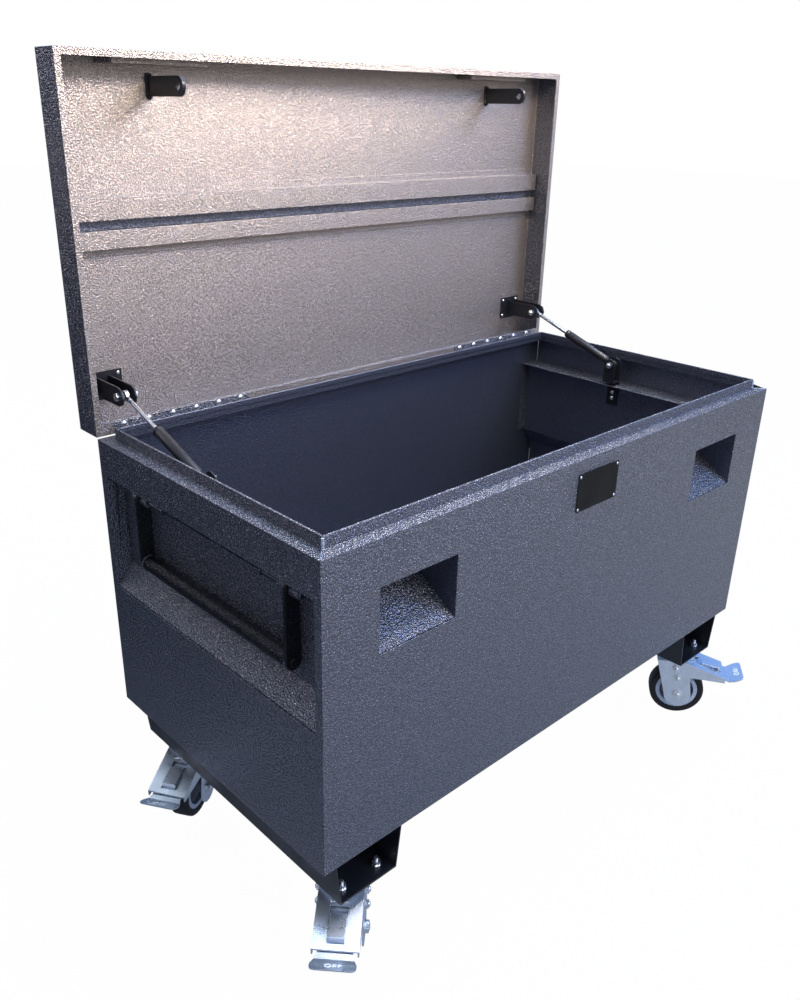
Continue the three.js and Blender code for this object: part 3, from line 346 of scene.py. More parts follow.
# a hexagon nut or bolt head: the side is half the width across flats over the cosine of the turn
# from the nearest flat, and a cone takes the top corners off
def hexHead(base, axis, acrossFlats, height, turned):
    axis, first, second = acrossAxis(axis)
    turn = np.linspace(0, 2 * np.pi, 36, endpoint=False)
    side = acrossFlats / 2 / np.cos(turn % (np.pi / 3) - np.pi / 6)
    ring = np.cos(turn + turned)[:, None] * first + np.sin(turn + turned)[:, None] * second
    none = 0 * side
    rows = [(none, none), (side, none), (side, height - 0.6 * (side - acrossFlats / 2)),
            (none + 0.49 * acrossFlats, none + height), (none, none + height)]
    points = np.stack([np.asarray(base, float) + out[:, None] * ring + up[:, None] * axis
                       for out, up in rows])
    return points, False, True


# a bead along straight runs: circles whose radius is rippled by three sines of the distance, closed
# at its ends; they are turned by a hint across the run, or across the plane of a closed run
def weldBead(corners, radius, ripple=0.3, step=0.0012):
    corners = np.array(corners, float)
    marks = np.concatenate([[0], np.cumsum(np.linalg.norm(np.diff(corners, axis=0), axis=1))])
    along = np.linspace(0, marks[-1], max(8, int(marks[-1] / step)))
    spine = np.stack([np.interp(along, marks, corners[:, k]) for k in range(3)], 1)
    rough = (0.5 * np.sin(along * 1850) + 0.3 * np.sin(along * 690 + 1.3)
             + 0.2 * np.sin(along * 270 + 0.4))
    size = radius * (1 + ripple * rough)
    size[[0, -1]] = 0
    heading = np.gradient(spine, axis=0)
    heading /= np.linalg.norm(heading, axis=1)[:, None]
    span = corners[-1] - corners[0]
    if span.any():
        hint = acrossAxis(span)[1]
    else:
        hint = unit(np.cross(corners[1] - corners[0], corners[2] - corners[1]))
    first = np.cross(heading, hint)
    first /= np.linalg.norm(first, axis=1)[:, None]
    second = np.cross(heading, first)
    turn = np.linspace(0, 2 * np.pi, 10, endpoint=False)
    ring = np.cos(turn)[:, None, None] * first + np.sin(turn)[:, None, None] * second
    points = spine + size[:, None] * ring
    return points.transpose(1, 0, 2), True, False


# a weld round a bar: a torus whose small radius ripples with the turn
def weldRing(base, axis, radius, bead):
    axis, first, second = acrossAxis(axis)
    turn = np.linspace(0, 2 * np.pi, 56, endpoint=False)
    small = np.linspace(0, 2 * np.pi, 10, endpoint=False)
    size = bead * (1 + 0.22 * np.sin(turn * 17) + 0.12 * np.sin(turn * 7 + 1))
    ring = np.cos(turn)[:, None] * first + np.sin(turn)[:, None] * second
    out = (radius + np.cos(small)[:, None] * size)[:, :, None]
    along = (np.sin(small)[:, None] * size)[:, :, None]
    points = np.asarray(base, float) + out * ring + along * axis
    return points, True, True


# points round a rectangle with quarter-circle corners
def roundedOutline(low, high, radius, steps=8):
    turn = np.linspace(0, np.pi / 2, steps)
    left, right = low[0] + radius, high[0] - radius
    bottom, top = low[1] + radius, high[1] - radius
    corners = [(right, top, 0), (left, top, 1), (left, bottom, 2), (right, bottom, 3)]
    return np.concatenate([np.stack([x + radius * np.cos(turn + k * np.pi / 2),
                                     y + radius * np.sin(turn + k * np.pi / 2)], 1)
                           for x, y, k in corners])


# an outline pushed through the plate's thickness, with a fan from its middle on both faces;
# with a hole, each outline point joins the hole's point on the same ray from the hole's centre
def flatPlate(outline, origin, first, second, thickness, hole=None):
    outline = np.array(outline, float)
    third = np.cross(first, second)
    if hole is None:
        middle = np.broadcast_to(outline.mean(0), outline.shape)
        rows = [(middle, 0), (outline, 0), (outline, thickness), (middle, thickness)]
    else:
        centre, radius = np.array(hole[:2], float), hole[2]
        rays = outline - centre
        inner = centre + radius * rays / np.linalg.norm(rays, axis=1)[:, None]
        rows = [(outline, 0), (outline, thickness), (inner, thickness), (inner, 0)]
    points = np.stack([np.asarray(origin, float) + flat[:, :1] * first + flat[:, 1:] * second
                       + up * third for flat, up in rows])
    return points, hole is not None, True


sharpAbove = 38  # degrees


# one object from closed grids of points: each grid's lines join their neighbours with quads,
# double points at seams and poles are merged, and the faces are turned outwards
def makePiece(name, body, finish, shapes, edge=0.0, replaced=()):
    allPoints, allFaces, start = [], [], 0
    for points, closedRows, closedColumns in shapes:
        rows, columns = points.shape[:2]
        rowSteps = np.arange(rows if closedRows else rows - 1)
        columnSteps = np.arange(columns if closedColumns else columns - 1)
        row, column = np.meshgrid(rowSteps, columnSteps, indexing="ij")
        nextRow, nextColumn = (row + 1) % rows, (column + 1) % columns
        quads = [row * columns + column, row * columns + nextColumn,
                 nextRow * columns + nextColumn, nextRow * columns + column]
        allFaces.append(start + np.stack(quads, -1).reshape(-1, 4))
        allPoints.append(points.reshape(-1, 3))
        start += rows * columns
    mesh = bpy.data.meshes.new(name)
    mesh.from_pydata(np.concatenate(allPoints).tolist(), [], np.concatenate(allFaces).tolist())
    work = bmesh.new()
    work.from_mesh(mesh)
    bmesh.ops.remove_doubles(work, verts=work.verts, dist=1e-6)
    bmesh.ops.dissolve_degenerate(work, dist=1e-7, edges=work.edges)
    bmesh.ops.recalc_face_normals(work, faces=work.faces)
    for face in work.faces:
        face.smooth = True
    work.to_mesh(mesh)
    work.free()
    mesh.set_sharp_from_angle(angle=math.radians(sharpAbove))
    piece = bpy.data.objects.new(name, mesh)
    scene.collection.objects.link(piece)
    if edge:
        roundEdges(piece, edge, 2, sharpAbove)
    setFinish(piece, finish)
    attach(piece, body)
    if replaced:
        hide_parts(*replaced)
    return piece


ends = {"left": -1, "right": 1}
xWay, yWay, zWay = np.eye(3)

# finish of each sheet piece, then the direction and finish of the faces that differ: the darker
# copy on faces inside the box is painted shade, the lighter copy on the lid's inner side is painted
# light
# the lock pockets take painted shade on their walls and keep the body paint on their floors, which
# face up and forward
pocketFloorWay = (0, -0.5, 0.87)
sheetFinish = {
    "front_panel": ("bodyCoat", (0, 1, 0), "insideCoat"),
    "rear_panel": ("bodyCoat", (0, -1, 0), "insideCoat"),
    "left_side_panel": ("bodyCoat", (1, 0, 0), "insideCoat"),
    "right_side_panel": ("bodyCoat", (-1, 0, 0), "insideCoat"),
    "left_recess_insert": ("bodyCoat", (1, 0, 0), "insideCoat"),
    "right_recess_insert": ("bodyCoat", (-1, 0, 0), "insideCoat"),
    "left_lock_pocket": ("insideCoat", pocketFloorWay, "bodyCoat"),
    "right_lock_pocket": ("insideCoat", pocketFloorWay, "bodyCoat"),
    "floor_panel": ("insideCoat",),
    "left_body_hinge_leaf": ("bodyCoat",), "right_body_hinge_leaf": ("bodyCoat",),
    "left_lid_hinge_leaf": ("bodyCoat",), "right_lid_hinge_leaf": ("bodyCoat",),
    "lid_shell": ("bodyCoat", (0, -1, 0), "lidCoat"),
    "lid_stiffener": ("bodyCoat", (0, -1, 0), "lidCoat"),
    "left_pry_bar": ("lidCoat",), "right_pry_bar": ("lidCoat",),
    "left_lid_clevis": ("blackCoat",), "right_lid_clevis": ("blackCoat",),
    "left_strut_bracket": ("blackCoat",), "right_strut_bracket": ("blackCoat",),
    "left_skid": ("blackCoat",), "right_skid": ("blackCoat",),
}
# rounding of the folded sheets' edges, and of the other sheet pieces
sheetEdge = {
    "lid_stiffener": 0.0016, "lid_shell": 0.0012, "front_panel": 0.0011, "rear_panel": 0.0011,
    "left_side_panel": 0.0011, "right_side_panel": 0.0011,
    "left_skid": 0.0014, "right_skid": 0.0014,
}
smallEdge = 0.0008
paintedShadeGroove = (1.1425, 1.1575)  # heights between the stiffener's bands, whose faces keep the darker body paint as painted shade at the groove's bottom
for node, (finish, *rest) in sheetFinish.items():
    folded = node in sheetEdge
    piece = dressNode(node, finish, sheetEdge.get(node, smallEdge), 3 if folded else 2, *rest)
    # painted shade: faces in the stiffener's groove take the darker body paint instead of the
    # painted light
    if node == "lid_stiffener":
        for face in piece.data.polygons:
            if paintedShadeGroove[0] < face.center.z < paintedShadeGroove[1]:
                face.material_index = 0
print("sheet pieces dressed")


# the latch tabs: a holed plate with a round tip, welded to the lid's skin by a ragged bead
latchTab = {
    "x": 0.420, "thickness": 0.006, "root": 0.3674, "tip": 0.2549, "z": 1.3655,
    "halfWidth": 0.0155, "holeAt": 0.2709, "holeRadius": 0.0065, "edge": 0.0006,
    "bead": 0.0024, "ripple": 0.35, "beadInset": 0.0014, "beadAside": 0.0008, "beadPast": 0.0025,
}


def makeLatchTab(name, side, spec):
    half, thickness = spec["halfWidth"], spec["thickness"]
    turn = np.linspace(-np.pi / 2, np.pi / 2, 17)
    tip = np.stack([spec["tip"] + half - half * np.cos(turn), spec["z"] - half * np.sin(turn)], 1)
    root = np.stack([np.full(9, spec["root"]), spec["z"] + np.linspace(-half, half, 9)], 1)
    near = side * (spec["x"] + thickness / 2) - thickness / 2
    plate = flatPlate(np.concatenate([tip, root]), (near, 0, 0), yWay, zWay, thickness,
                      (spec["holeAt"], spec["z"], spec["holeRadius"]))
    makePiece(f"{name}_latch_tab_plate", "lid", "blackCoat", [plate], spec["edge"],
              [f"{name}_latch_tab"])
    y = spec["root"] - spec["beadInset"]
    inner, outer = near - spec["beadAside"], near + thickness + spec["beadAside"]
    low, high = spec["z"] - half - spec["beadPast"], spec["z"] + half + spec["beadPast"]
    run = [(inner, y, low), (inner, y, high), (outer, y, high), (outer, y, low), (inner, y, low)]
    bead = weldBead(run, spec["bead"], spec["ripple"])
    makePiece(f"{name}_latch_tab_weld", "lid", "blackCoat", [bead])


# the drop handles: a round bar welded into two flat arms, each arm on a pin between two tubes
# that stand on a strip behind the recess
dropHandle = {
    "x": 0.592, "middle": -0.0105, "pinZ": 0.7195, "barZ": 0.5995,
    "armAt": 0.207, "halfArm": 0.003, "topRadius": 0.013, "endRadius": 0.0136, "edge": 0.0006,
    "barRadius": 0.0135, "barShort": 0.0005, "bossRadius": 0.008, "bossEnd": 0.213,
    "bossEdge": 0.0008, "weld": 0.0021, "weldSunk": 0.0006,
    "play": 0.0003,  # between the arm and the tubes, and between the pin and its bore
    "tubeRadius": 0.008, "tubeLength": 0.020, "tubeEdge": 0.0006, "tubeRounding": 0.0004,
    "stripFaces": (0.5763, 0.5783), "stripHalf": (0.250, 0.013), "stripCorner": 0.002,
    "saddle": 0.0026, "saddleProud": 0.0004, "saddleAside": 0.0045, "saddleInset": 0.001,
    "pinRadius": 0.004, "pinTail": 0.048, "collarRadius": 0.0065, "collarHeight": 0.004,
    "tailEdge": 0.0008, "headEdge": 0.0012, "headFoot": 0.0002,
}


def makeDropHandle(name, side, spec):
    x, middle, barZ, pinZ = side * spec["x"], spec["middle"], spec["barZ"], spec["pinZ"]
    armAt, halfArm, tubeLength = spec["armAt"], spec["halfArm"], spec["tubeLength"]
    top, end = spec["topRadius"], spec["endRadius"]
    turn = np.linspace(0, np.pi, 19)
    outline = np.concatenate([
        np.stack([top * np.cos(turn), pinZ + top * np.sin(turn)], 1),
        np.stack([-end * np.cos(turn), barZ - end * np.sin(turn)], 1)])
    boss, bossEdge, proud = spec["bossRadius"], spec["bossEdge"], spec["bossEnd"] - armAt
    bossProfile = [(0, 0), (boss, 0), (boss, proud - bossEdge), (boss - bossEdge, proud),
                   (0, proud)]
    shapes, welds = [], []
    for way in (-1, 1):
        start = (x, middle + way * armAt + halfArm, 0)
        shapes.append(flatPlate(outline, start, xWay, zWay, 2 * halfArm))
        shapes.append(lathe(bossProfile, (x, middle + way * armAt, barZ), (0, way, 0), 28))
        welds.append(weldRing((x, middle + way * (armAt - halfArm), barZ), yWay,
                              spec["barRadius"] - spec["weldSunk"], spec["weld"]))
    bar, reach = spec["barRadius"], armAt - spec["barShort"]
    shapes.append(lathe([(0, -reach), (bar, -reach), (bar, reach), (0, reach)],
                        (x, middle, barZ), yWay, 40))
    body = f"{name}_drop_handle"
    makePiece(f"{name}_drop_handle_bar", body, "handleCoat", shapes, spec["edge"],
              [f"{name}_handle"])
    makePiece(f"{name}_drop_handle_welds", body, "weldMetal", welds)

    play, tube, tubeEdge = spec["play"], spec["tubeRadius"], spec["tubeEdge"]
    inside, outside = armAt - halfArm - play, armAt + halfArm + play
    bore = spec["pinRadius"] + play
    rim = [(bore, 0), (bore, tubeLength), (tube - tubeEdge, tubeLength),
           (tube, tubeLength - tubeEdge), (tube, tubeEdge), (tube - tubeEdge, 0)]
    near, far = spec["stripFaces"]
    halfLong, halfHigh = spec["stripHalf"]
    strip = roundedOutline((-halfLong, pinZ - halfHigh), (halfLong, pinZ + halfHigh),
                           spec["stripCorner"], 4)
    hinge = [flatPlate(strip, (side * (near if side > 0 else far), 0, 0), yWay, zWay, far - near)]
    foot, inset, saddles = side * (far + spec["saddleProud"]), spec["saddleInset"], []
    for way in (-1, 1):
        for start in (inside - tubeLength, outside):
            at = middle + start if way > 0 else middle - start - tubeLength
            hinge.append(lathe(rim, (x, at, pinZ), yWay, 28, True))
            for aside in (-spec["saddleAside"], spec["saddleAside"]):
                run = [(foot, at + inset, pinZ + aside),
                       (foot, at + tubeLength - inset, pinZ + aside)]
                saddles.append(weldBead(run, spec["saddle"]))
    makePiece(f"{name}_handle_tubes", "body", "bodyCoat", hinge,
              spec["tubeRounding"], [f"{name}_handle_hinge"])
    makePiece(f"{name}_handle_tube_welds", "body", "weldMetal", saddles)

    pin, collar, height = spec["pinRadius"], spec["collarRadius"], spec["collarHeight"]
    tailEdge, headEdge = spec["tailEdge"], spec["headEdge"]
    tail = inside - tubeLength - spec["pinTail"]
    head = outside + tubeLength + play
    profile = [(0, tail), (collar - tailEdge, tail), (collar, tail + tailEdge),
               (collar, tail + height - tailEdge), (collar - tailEdge, tail + height),
               (pin, tail + height), (pin, head), (collar, head + spec["headFoot"]),
               (collar, head + height - headEdge), (collar - headEdge, head + height),
               (0, head + height)]
    for place, way in (("front", -1), ("rear", 1)):
        makePiece(f"{name}_handle_{place}_pin_turned", "body", "dullZinc",
                  [lathe(profile, (x, middle, pinZ), (0, way, 0), 24)], 0,
                  [f"{name}_handle_{place}_pin"])


# the gas struts: a painted tube with a rolled mouth, a chromed rod and a forged eye at each end;
# each profile pair is (radius, distance), the distance counted from the place that its name says
gasStrut = {
    "x": 0.560, "low": (0.045, 0.791), "high": (0.285, 0.876),
    "start": 0.015, "mouth": 0.1487, "rodRadius": 0.004, "rodInside": 0.02,
    "fromStart": [(0, 0), (0.005, 0), (0.0065, 0.0012), (0.0087, 0.004), (0.0095, 0.007)],
    "fromMouth": [(0.0095, -0.012), (0.0088, -0.0105), (0.0088, -0.0095), (0.0095, -0.008),
                  (0.0095, -0.0035), (0.0083, -0.001), (0.0056, 0), (0.0044, -0.0006),
                  (0, -0.0006)],
    "neck": [(0, 0.0075), (0.0042, 0.0075), (0.0036, 0.012), (0.0036, 0.017), (0, 0.017)],
    "fromHigh": [(0.004, -0.018), (0.0052, -0.0178), (0.0052, -0.0125), (0.0042, -0.0115),
                 (0.0042, -0.0075), (0, -0.0075)],
    "eye": [(0.0044, -0.004), (0.0044, 0.004), (0.008, 0.004), (0.009, 0.003), (0.009, -0.003),
            (0.008, -0.004)],
}


def shifted(profile, start):
    return [(radius, start + distance) for radius, distance in profile]


def makeGasStrut(name, side, spec):
    low = np.array([side * spec["x"], *spec["low"]])
    high = np.array([side * spec["x"], *spec["high"]])
    along, length = unit(high - low), np.linalg.norm(high - low)
    tube = shifted(spec["fromStart"], spec["start"]) + shifted(spec["fromMouth"], spec["mouth"])
    makePiece(f"{name}_gas_strut_tube", f"{name}_strut_tube", "blackCoat",
              [lathe(tube, low, along, 32), lathe(spec["neck"], low, along, 20),
               lathe(spec["eye"], low, xWay, 28, True)], 0, [f"{name}_strut_cylinder"])
    hidden = spec["mouth"] - spec["rodInside"]
    shaft = [(0, hidden), (spec["rodRadius"], hidden)] + shifted(spec["fromHigh"], length)
    makePiece(f"{name}_gas_strut_rod", f"{name}_strut_shaft", "chrome",
              [lathe(shaft, low, along, 28), lathe(spec["eye"], high, xWay, 28, True)], 0,
              [f"{name}_strut_rod"])


# The casters: places are (along the trail, across it, height) from the kingpin's foot. A fastener
# part is (radius or width across flats, height, distance from the face it stands on).
casters = {
    "headings": {"front_left": 223, "front_right": -54, "rear_left": 213, "rear_right": 26},
    "kingpin": (0.510, 0.235), "trail": 0.0265, "axleZ": 0.0625,
    "ringFrom": 0.0392,  # radius where the rim's pale ring begins
    "tyre": [(0.0482, -0.0168), (0.0505, -0.0186), (0.054, -0.0192), (0.058, -0.0190),
             (0.0605, -0.0181), (0.0620, -0.0162), (0.0624, -0.012), (0.0625, -0.004)],
    "rim": [(0.0062, -0.0262), (0.0095, -0.0262), (0.0115, -0.0254), (0.0125, -0.0235),
            (0.0130, -0.0200), (0.0145, -0.0100), (0.0175, -0.0065), (0.0240, -0.0046),
            (0.0330, -0.0046), (0.0368, -0.0075), (0.0383, -0.0150), (0.0388, -0.0168),
            (0.0398, -0.0172), (0.0468, -0.0172), (0.0479, -0.0166)],
    "legFace": 0.0386,
    "axleEnd": {"washer": (0.0125, 0.0014, 28), "nut": (0.0195, 0.0058, 0.0013),
                "tip": (0.0075, 0.0022, 0.0068), "turned": 0.3},
    "sideBolts": ((0.0145, 0.1345), (0.0215, 0.1085)),
    "sideEnd": {"washer": (0.0085, 0.0011, 24), "nut": (0.0133, 0.0048, 0.001),
                "tip": (0.0052, 0.0032, 0.0056)},
    "studHalf": 0.038, "studTop": 0.1753, "studUnder": 0.1678,
    "studWasher": (0.0088, 0.0014, 24), "studNut": (0.0133, 0.0062, 0.0013),
    "studHead": (0.0133, 0.0053),
    "thread": {"from": 0.007, "to": 0.0142, "pitch": 0.00125, "crest": 0.0040, "root": 0.0034,
               "fall": 0.0006, "foot": 0.006, "neck": 0.0146, "end": 0.0148},
    "crownTop": 0.1524, "bend": 0.032, "slope": -0.0314 / 0.096,
    # marks pressed into the cover: from, to, radius, ripple
    "pressings": [((0.0545, -0.0165), (0.0545, -0.0075), 0.0017, 0.45),
                  ((0.0525, -0.0055), (0.0525, 0.0035), 0.0017, 0.45),
                  ((0.0548, 0.0060), (0.0548, 0.0150), 0.0017, 0.45),
                  ((0.0555, -0.0165), (0.0495, -0.0165), 0.0015, 0.4)],
    "pressingSunk": 0.0007, "pressingStep": 0.0008,
    "letters": {"size": 0.015, "thickness": 0.00025, "spacing": 1.1, "at": (0.157, 0.1213),
                "down": (0.902, 0.432), "proud": 0.0002},
}


# a half profile joined to its mirror image about the wheel's middle
def mirrored(half):
    return half + [(radius, -width) for radius, width in reversed(half)]


def disc(radius, height, steps, base, axis):
    return lathe([(0, 0), (radius, 0), (radius, height), (0, height)], base, axis, steps)


# a washer, a nut and a round thread end on a face
def boltEnd(face, out, spec, turned):
    nutWidth, nutHeight, nutAt = spec["nut"]
    tipRadius, tipHeight, tipAt = spec["tip"]
    return [disc(*spec["washer"], face, out),
            hexHead(face + nutAt * out, out, nutWidth, nutHeight, turned),
            domeHead(face + tipAt * out, out, tipRadius, tipHeight)]


def makeCaster(name, spec):
    side = -1 if name.endswith("left") else 1
    front = -1 if name.startswith("front") else 1
    heading = math.radians(spec["headings"][name])
    trail = np.array([math.cos(heading), math.sin(heading), 0])
    across = np.array([-math.sin(heading), math.cos(heading), 0])
    foot = np.array([side * spec["kingpin"][0], front * spec["kingpin"][1], 0])
    axle = foot + spec["trail"] * trail + spec["axleZ"] * zWay

    def at(u, v, z):
        return foot + u * trail + v * across + z * zWay

    makePiece(f"{name}_tyre_tread", f"{name}_wheel", "rubber",
              [lathe(mirrored(spec["tyre"]), axle, across, 64, True)], 0, [f"{name}_tyre"])
    rim = makePiece(f"{name}_rim_moulding", f"{name}_wheel", "nylon",
                    [lathe(mirrored(spec["rim"]), axle, across, 56, True)], 0, [f"{name}_rim"])
    rim.data.materials.append(finishes["rimRing"])
    middles = np.empty(3 * len(rim.data.polygons))
    rim.data.polygons.foreach_get("center", middles)
    away = middles.reshape(-1, 3) - axle
    away -= (away @ across)[:, None] * across
    pale = np.linalg.norm(away, axis=1) > spec["ringFrom"]
    rim.data.polygons.foreach_set("material_index", pale.astype(np.int32))

    fasteners = []
    for way in (-1, 1):
        out, v = way * across, way * spec["legFace"]
        fasteners += boltEnd(axle + v * across, out, spec["axleEnd"], spec["axleEnd"]["turned"])
        for order, (u, z) in enumerate(spec["sideBolts"]):
            fasteners += boltEnd(at(u, v, z), out, spec["sideEnd"], 0.5 * order)
    makePiece(f"{name}_side_fasteners", f"{name}_swivel", "brightZinc", fasteners)

    screw = spec["thread"]
    thread = [(0, screw["foot"])]
    for rise in np.arange(screw["from"], screw["to"], screw["pitch"]):
        thread += [(screw["crest"], rise), (screw["root"], rise + screw["fall"])]
    thread += [(screw["root"], screw["neck"]), (0, screw["end"])]
    nutWidth, nutHeight, nutAt = spec["studNut"]
    studs = []
    for du in (-1, 1):
        for dv in (-1, 1):
            place = foot + np.array([du * spec["studHalf"], dv * spec["studHalf"], 0])
            top = place + spec["studTop"] * zWay
            studs.append(disc(*spec["studWasher"], top, zWay))
            studs.append(hexHead(top + nutAt * zWay, zWay, nutWidth, nutHeight,
                                 0.4 * du + 0.2 * dv))
            studs.append(lathe(thread, top, zWay, 20))
            studs.append(hexHead(place + spec["studUnder"] * zWay, -zWay, *spec["studHead"],
                                 0.3 * dv))
    makePiece(f"{name}_mounting_studs", "body", "brightZinc", studs)

    # on the cover, whose height falls evenly from its bend
    def mark(u, v):
        cover = spec["crownTop"] + spec["slope"] * max(0, u - spec["bend"])
        return at(u, v, cover - spec["pressingSunk"])

    marks = [weldBead([mark(*start), mark(*stop)], radius, ripple, spec["pressingStep"])
             for start, stop, radius, ripple in spec["pressings"]]
    makePiece(f"{name}_cover_pressings", f"{name}_swivel", "brightZinc", marks)

    sign = spec["letters"]
    letters = bpy.data.curves.new(f"{name}_off", "FONT")
    letters.body = "OFF"
    letters.size = sign["size"]
    letters.align_x, letters.align_y = "CENTER", "CENTER"
    letters.extrude = sign["thickness"]
    letters.space_character = sign["spacing"]
    holder = bpy.data.objects.new(f"{name}_off_curve", letters)
    scene.collection.objects.link(holder)
    bpy.context.view_layer.update()
    mesh = bpy.data.meshes.new_from_object(
        holder.evaluated_get(bpy.context.evaluated_depsgraph_get()))
    bpy.data.objects.remove(holder)
    up = -(sign["down"][0] * trail + sign["down"][1] * zWay)
    out = np.cross(across, up)
    place = at(sign["at"][0], 0, sign["at"][1]) + sign["proud"] * out
    turned = np.eye(4)
    turned[:3, :3] = np.stack([across, up, out], 1)
    turned[:3, 3] = place
    mesh.transform(Matrix(turned.tolist()))
    piece = bpy.data.objects.new(f"{name}_off_letters", mesh)
    scene.collection.objects.link(piece)
    setFinish(piece, "markWhite")
    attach(piece, f"{name}_brake")


# rivets and bolts that stand on sheet pieces; a head is (radius or width across flats, height)
smallFasteners = {
    "hingeRivets": {"x": 0.434, "step": 0.0246, "places": (-5, -3, -1, 1, 3, 5), "y": 0.3063,
                    "z": 0.8185, "head": (0.0063, 0.0032)},
    "nut": (0.0133, 0.0053), "nutFace": 0.0138,
    "clevis": {"bolt": (0.560, 0.285, 0.876), "nutTurned": 0.2, "acornAt": 0.0188,
               "acorn": (0.0054, 0.0054), "rivetsX": (-0.030, 0.019),
               "rivetsZ": (-0.0185, 0.0185), "rivetY": 0.3656, "rivet": (0.0036, 0.0022)},
    "bracket": {"bolt": (0.560, 0.045, 0.791), "nutTurned": 0.35, "tipAt": 0.0052,
                "head": (0.0050, 0.0030), "screwX": 0.5707, "screwsZ": (0.707, 0.721),
                "screw": (0.0052, 0.0030)},
    "plate": {"rivetsX": (-0.046, 0.061), "rivetsZ": (0.711, 0.771), "rivetY": -0.3072,
              "rivet": (0.0026, 0.0015), "low": (-0.051, 0.706), "high": (0.066, 0.776),
              "corner": 0.003, "y": -0.3063, "thickness": 0.001, "edge": 0.0003},
}


def makeSmallFasteners(spec):
    row, clevis, bracket, plate = (spec[key] for key in ("hingeRivets", "clevis", "bracket",
                                                         "plate"))
    for name, side in ends.items():
        rivets = [domeHead((side * (row["x"] + k * row["step"]), row["y"], row["z"]), -yWay,
                           *row["head"]) for k in row["places"]]
        makePiece(f"{name}_hinge_rivets", "lid", "brightZinc", rivets)
        bolt = np.array([side, 1, 1]) * clevis["bolt"]
        bolts = [hexHead(bolt + way * spec["nutFace"] * xWay, way * xWay, *spec["nut"],
                         clevis["nutTurned"]) for way in (-1, 1)]
        bolts.append(domeHead(bolt - side * clevis["acornAt"] * xWay, -side * xWay,
                              *clevis["acorn"]))
        boltX, boltY, boltZ = clevis["bolt"]
        bolts += [domeHead((side * (boltX + dx), clevis["rivetY"], boltZ + dz), -yWay,
                           *clevis["rivet"])
                  for dx in clevis["rivetsX"] for dz in clevis["rivetsZ"]]
        makePiece(f"{name}_clevis_fasteners", "lid", "brightZinc", bolts)
        pivot, bolt = [], np.array([side, 1, 1]) * bracket["bolt"]
        for way in (-1, 1):
            out = way * xWay
            face = bolt + spec["nutFace"] * out
            pivot.append(hexHead(face, out, *spec["nut"], bracket["nutTurned"]))
            pivot.append(domeHead(face + bracket["tipAt"] * out, out, *bracket["head"]))
        pivot += [domeHead((side * bracket["screwX"], bracket["bolt"][1], z), -side * xWay,
                           *bracket["screw"]) for z in bracket["screwsZ"]]
        makePiece(f"{name}_bracket_fasteners", "body", "brightZinc", pivot)
    rivets = [domeHead((x, plate["rivetY"], z), -yWay, *plate["rivet"])
              for x in plate["rivetsX"] for z in plate["rivetsZ"]]
    makePiece("nameplate_rivets", "body", "brightZinc", rivets)
    card = flatPlate(roundedOutline(plate["low"], plate["high"], plate["corner"]),
                     (0, plate["y"], 0), xWay, zWay, plate["thickness"])
    makePiece("nameplate_card", "body", "plateBlack", [card], plate["edge"],
              ["nameplate"])


# welds at the front corners of the rim: up the upstand's corner and across the ledge's mitre; the
# beads are real, their pale colour is painted highlight along the corners
rimWelds = {"lip": (0.5873, 0.2833), "outer": (0.6085, 0.3045), "ledgeZ": 0.8027, "lipZ": 0.8215,
            "bead": 0.0022, "mitreZ": 0.8021, "mitreBead": 0.0016}


def makeRimWelds(spec):
    for name, side in ends.items():
        lip = (side * spec["lip"][0], -spec["lip"][1])
        outer = (side * spec["outer"][0], -spec["outer"][1])
        beads = [weldBead([(*lip, spec["ledgeZ"]), (*lip, spec["lipZ"])], spec["bead"]),
                 weldBead([(*lip, spec["mitreZ"]), (*outer, spec["mitreZ"])], spec["mitreBead"])]
        makePiece(f"front_{name}_rim_weld", "body", "weldPaintedHighlight", beads)


makeRimWelds(rimWelds)
for name, side in ends.items():
    makeLatchTab(name, side, latchTab)
    makeDropHandle(name, side, dropHandle)
    makeGasStrut(name, side, gasStrut)
for name in casters["headings"]:
    makeCaster(name, casters)
makeSmallFasteners(smallFasteners)
print("handles, tabs, struts, casters and fasteners made")

for node, solid in nodes.items():
    if not solid.hide_render:
        dressNode(node, "zinc", 0.0004)
print("remaining solids dressed")


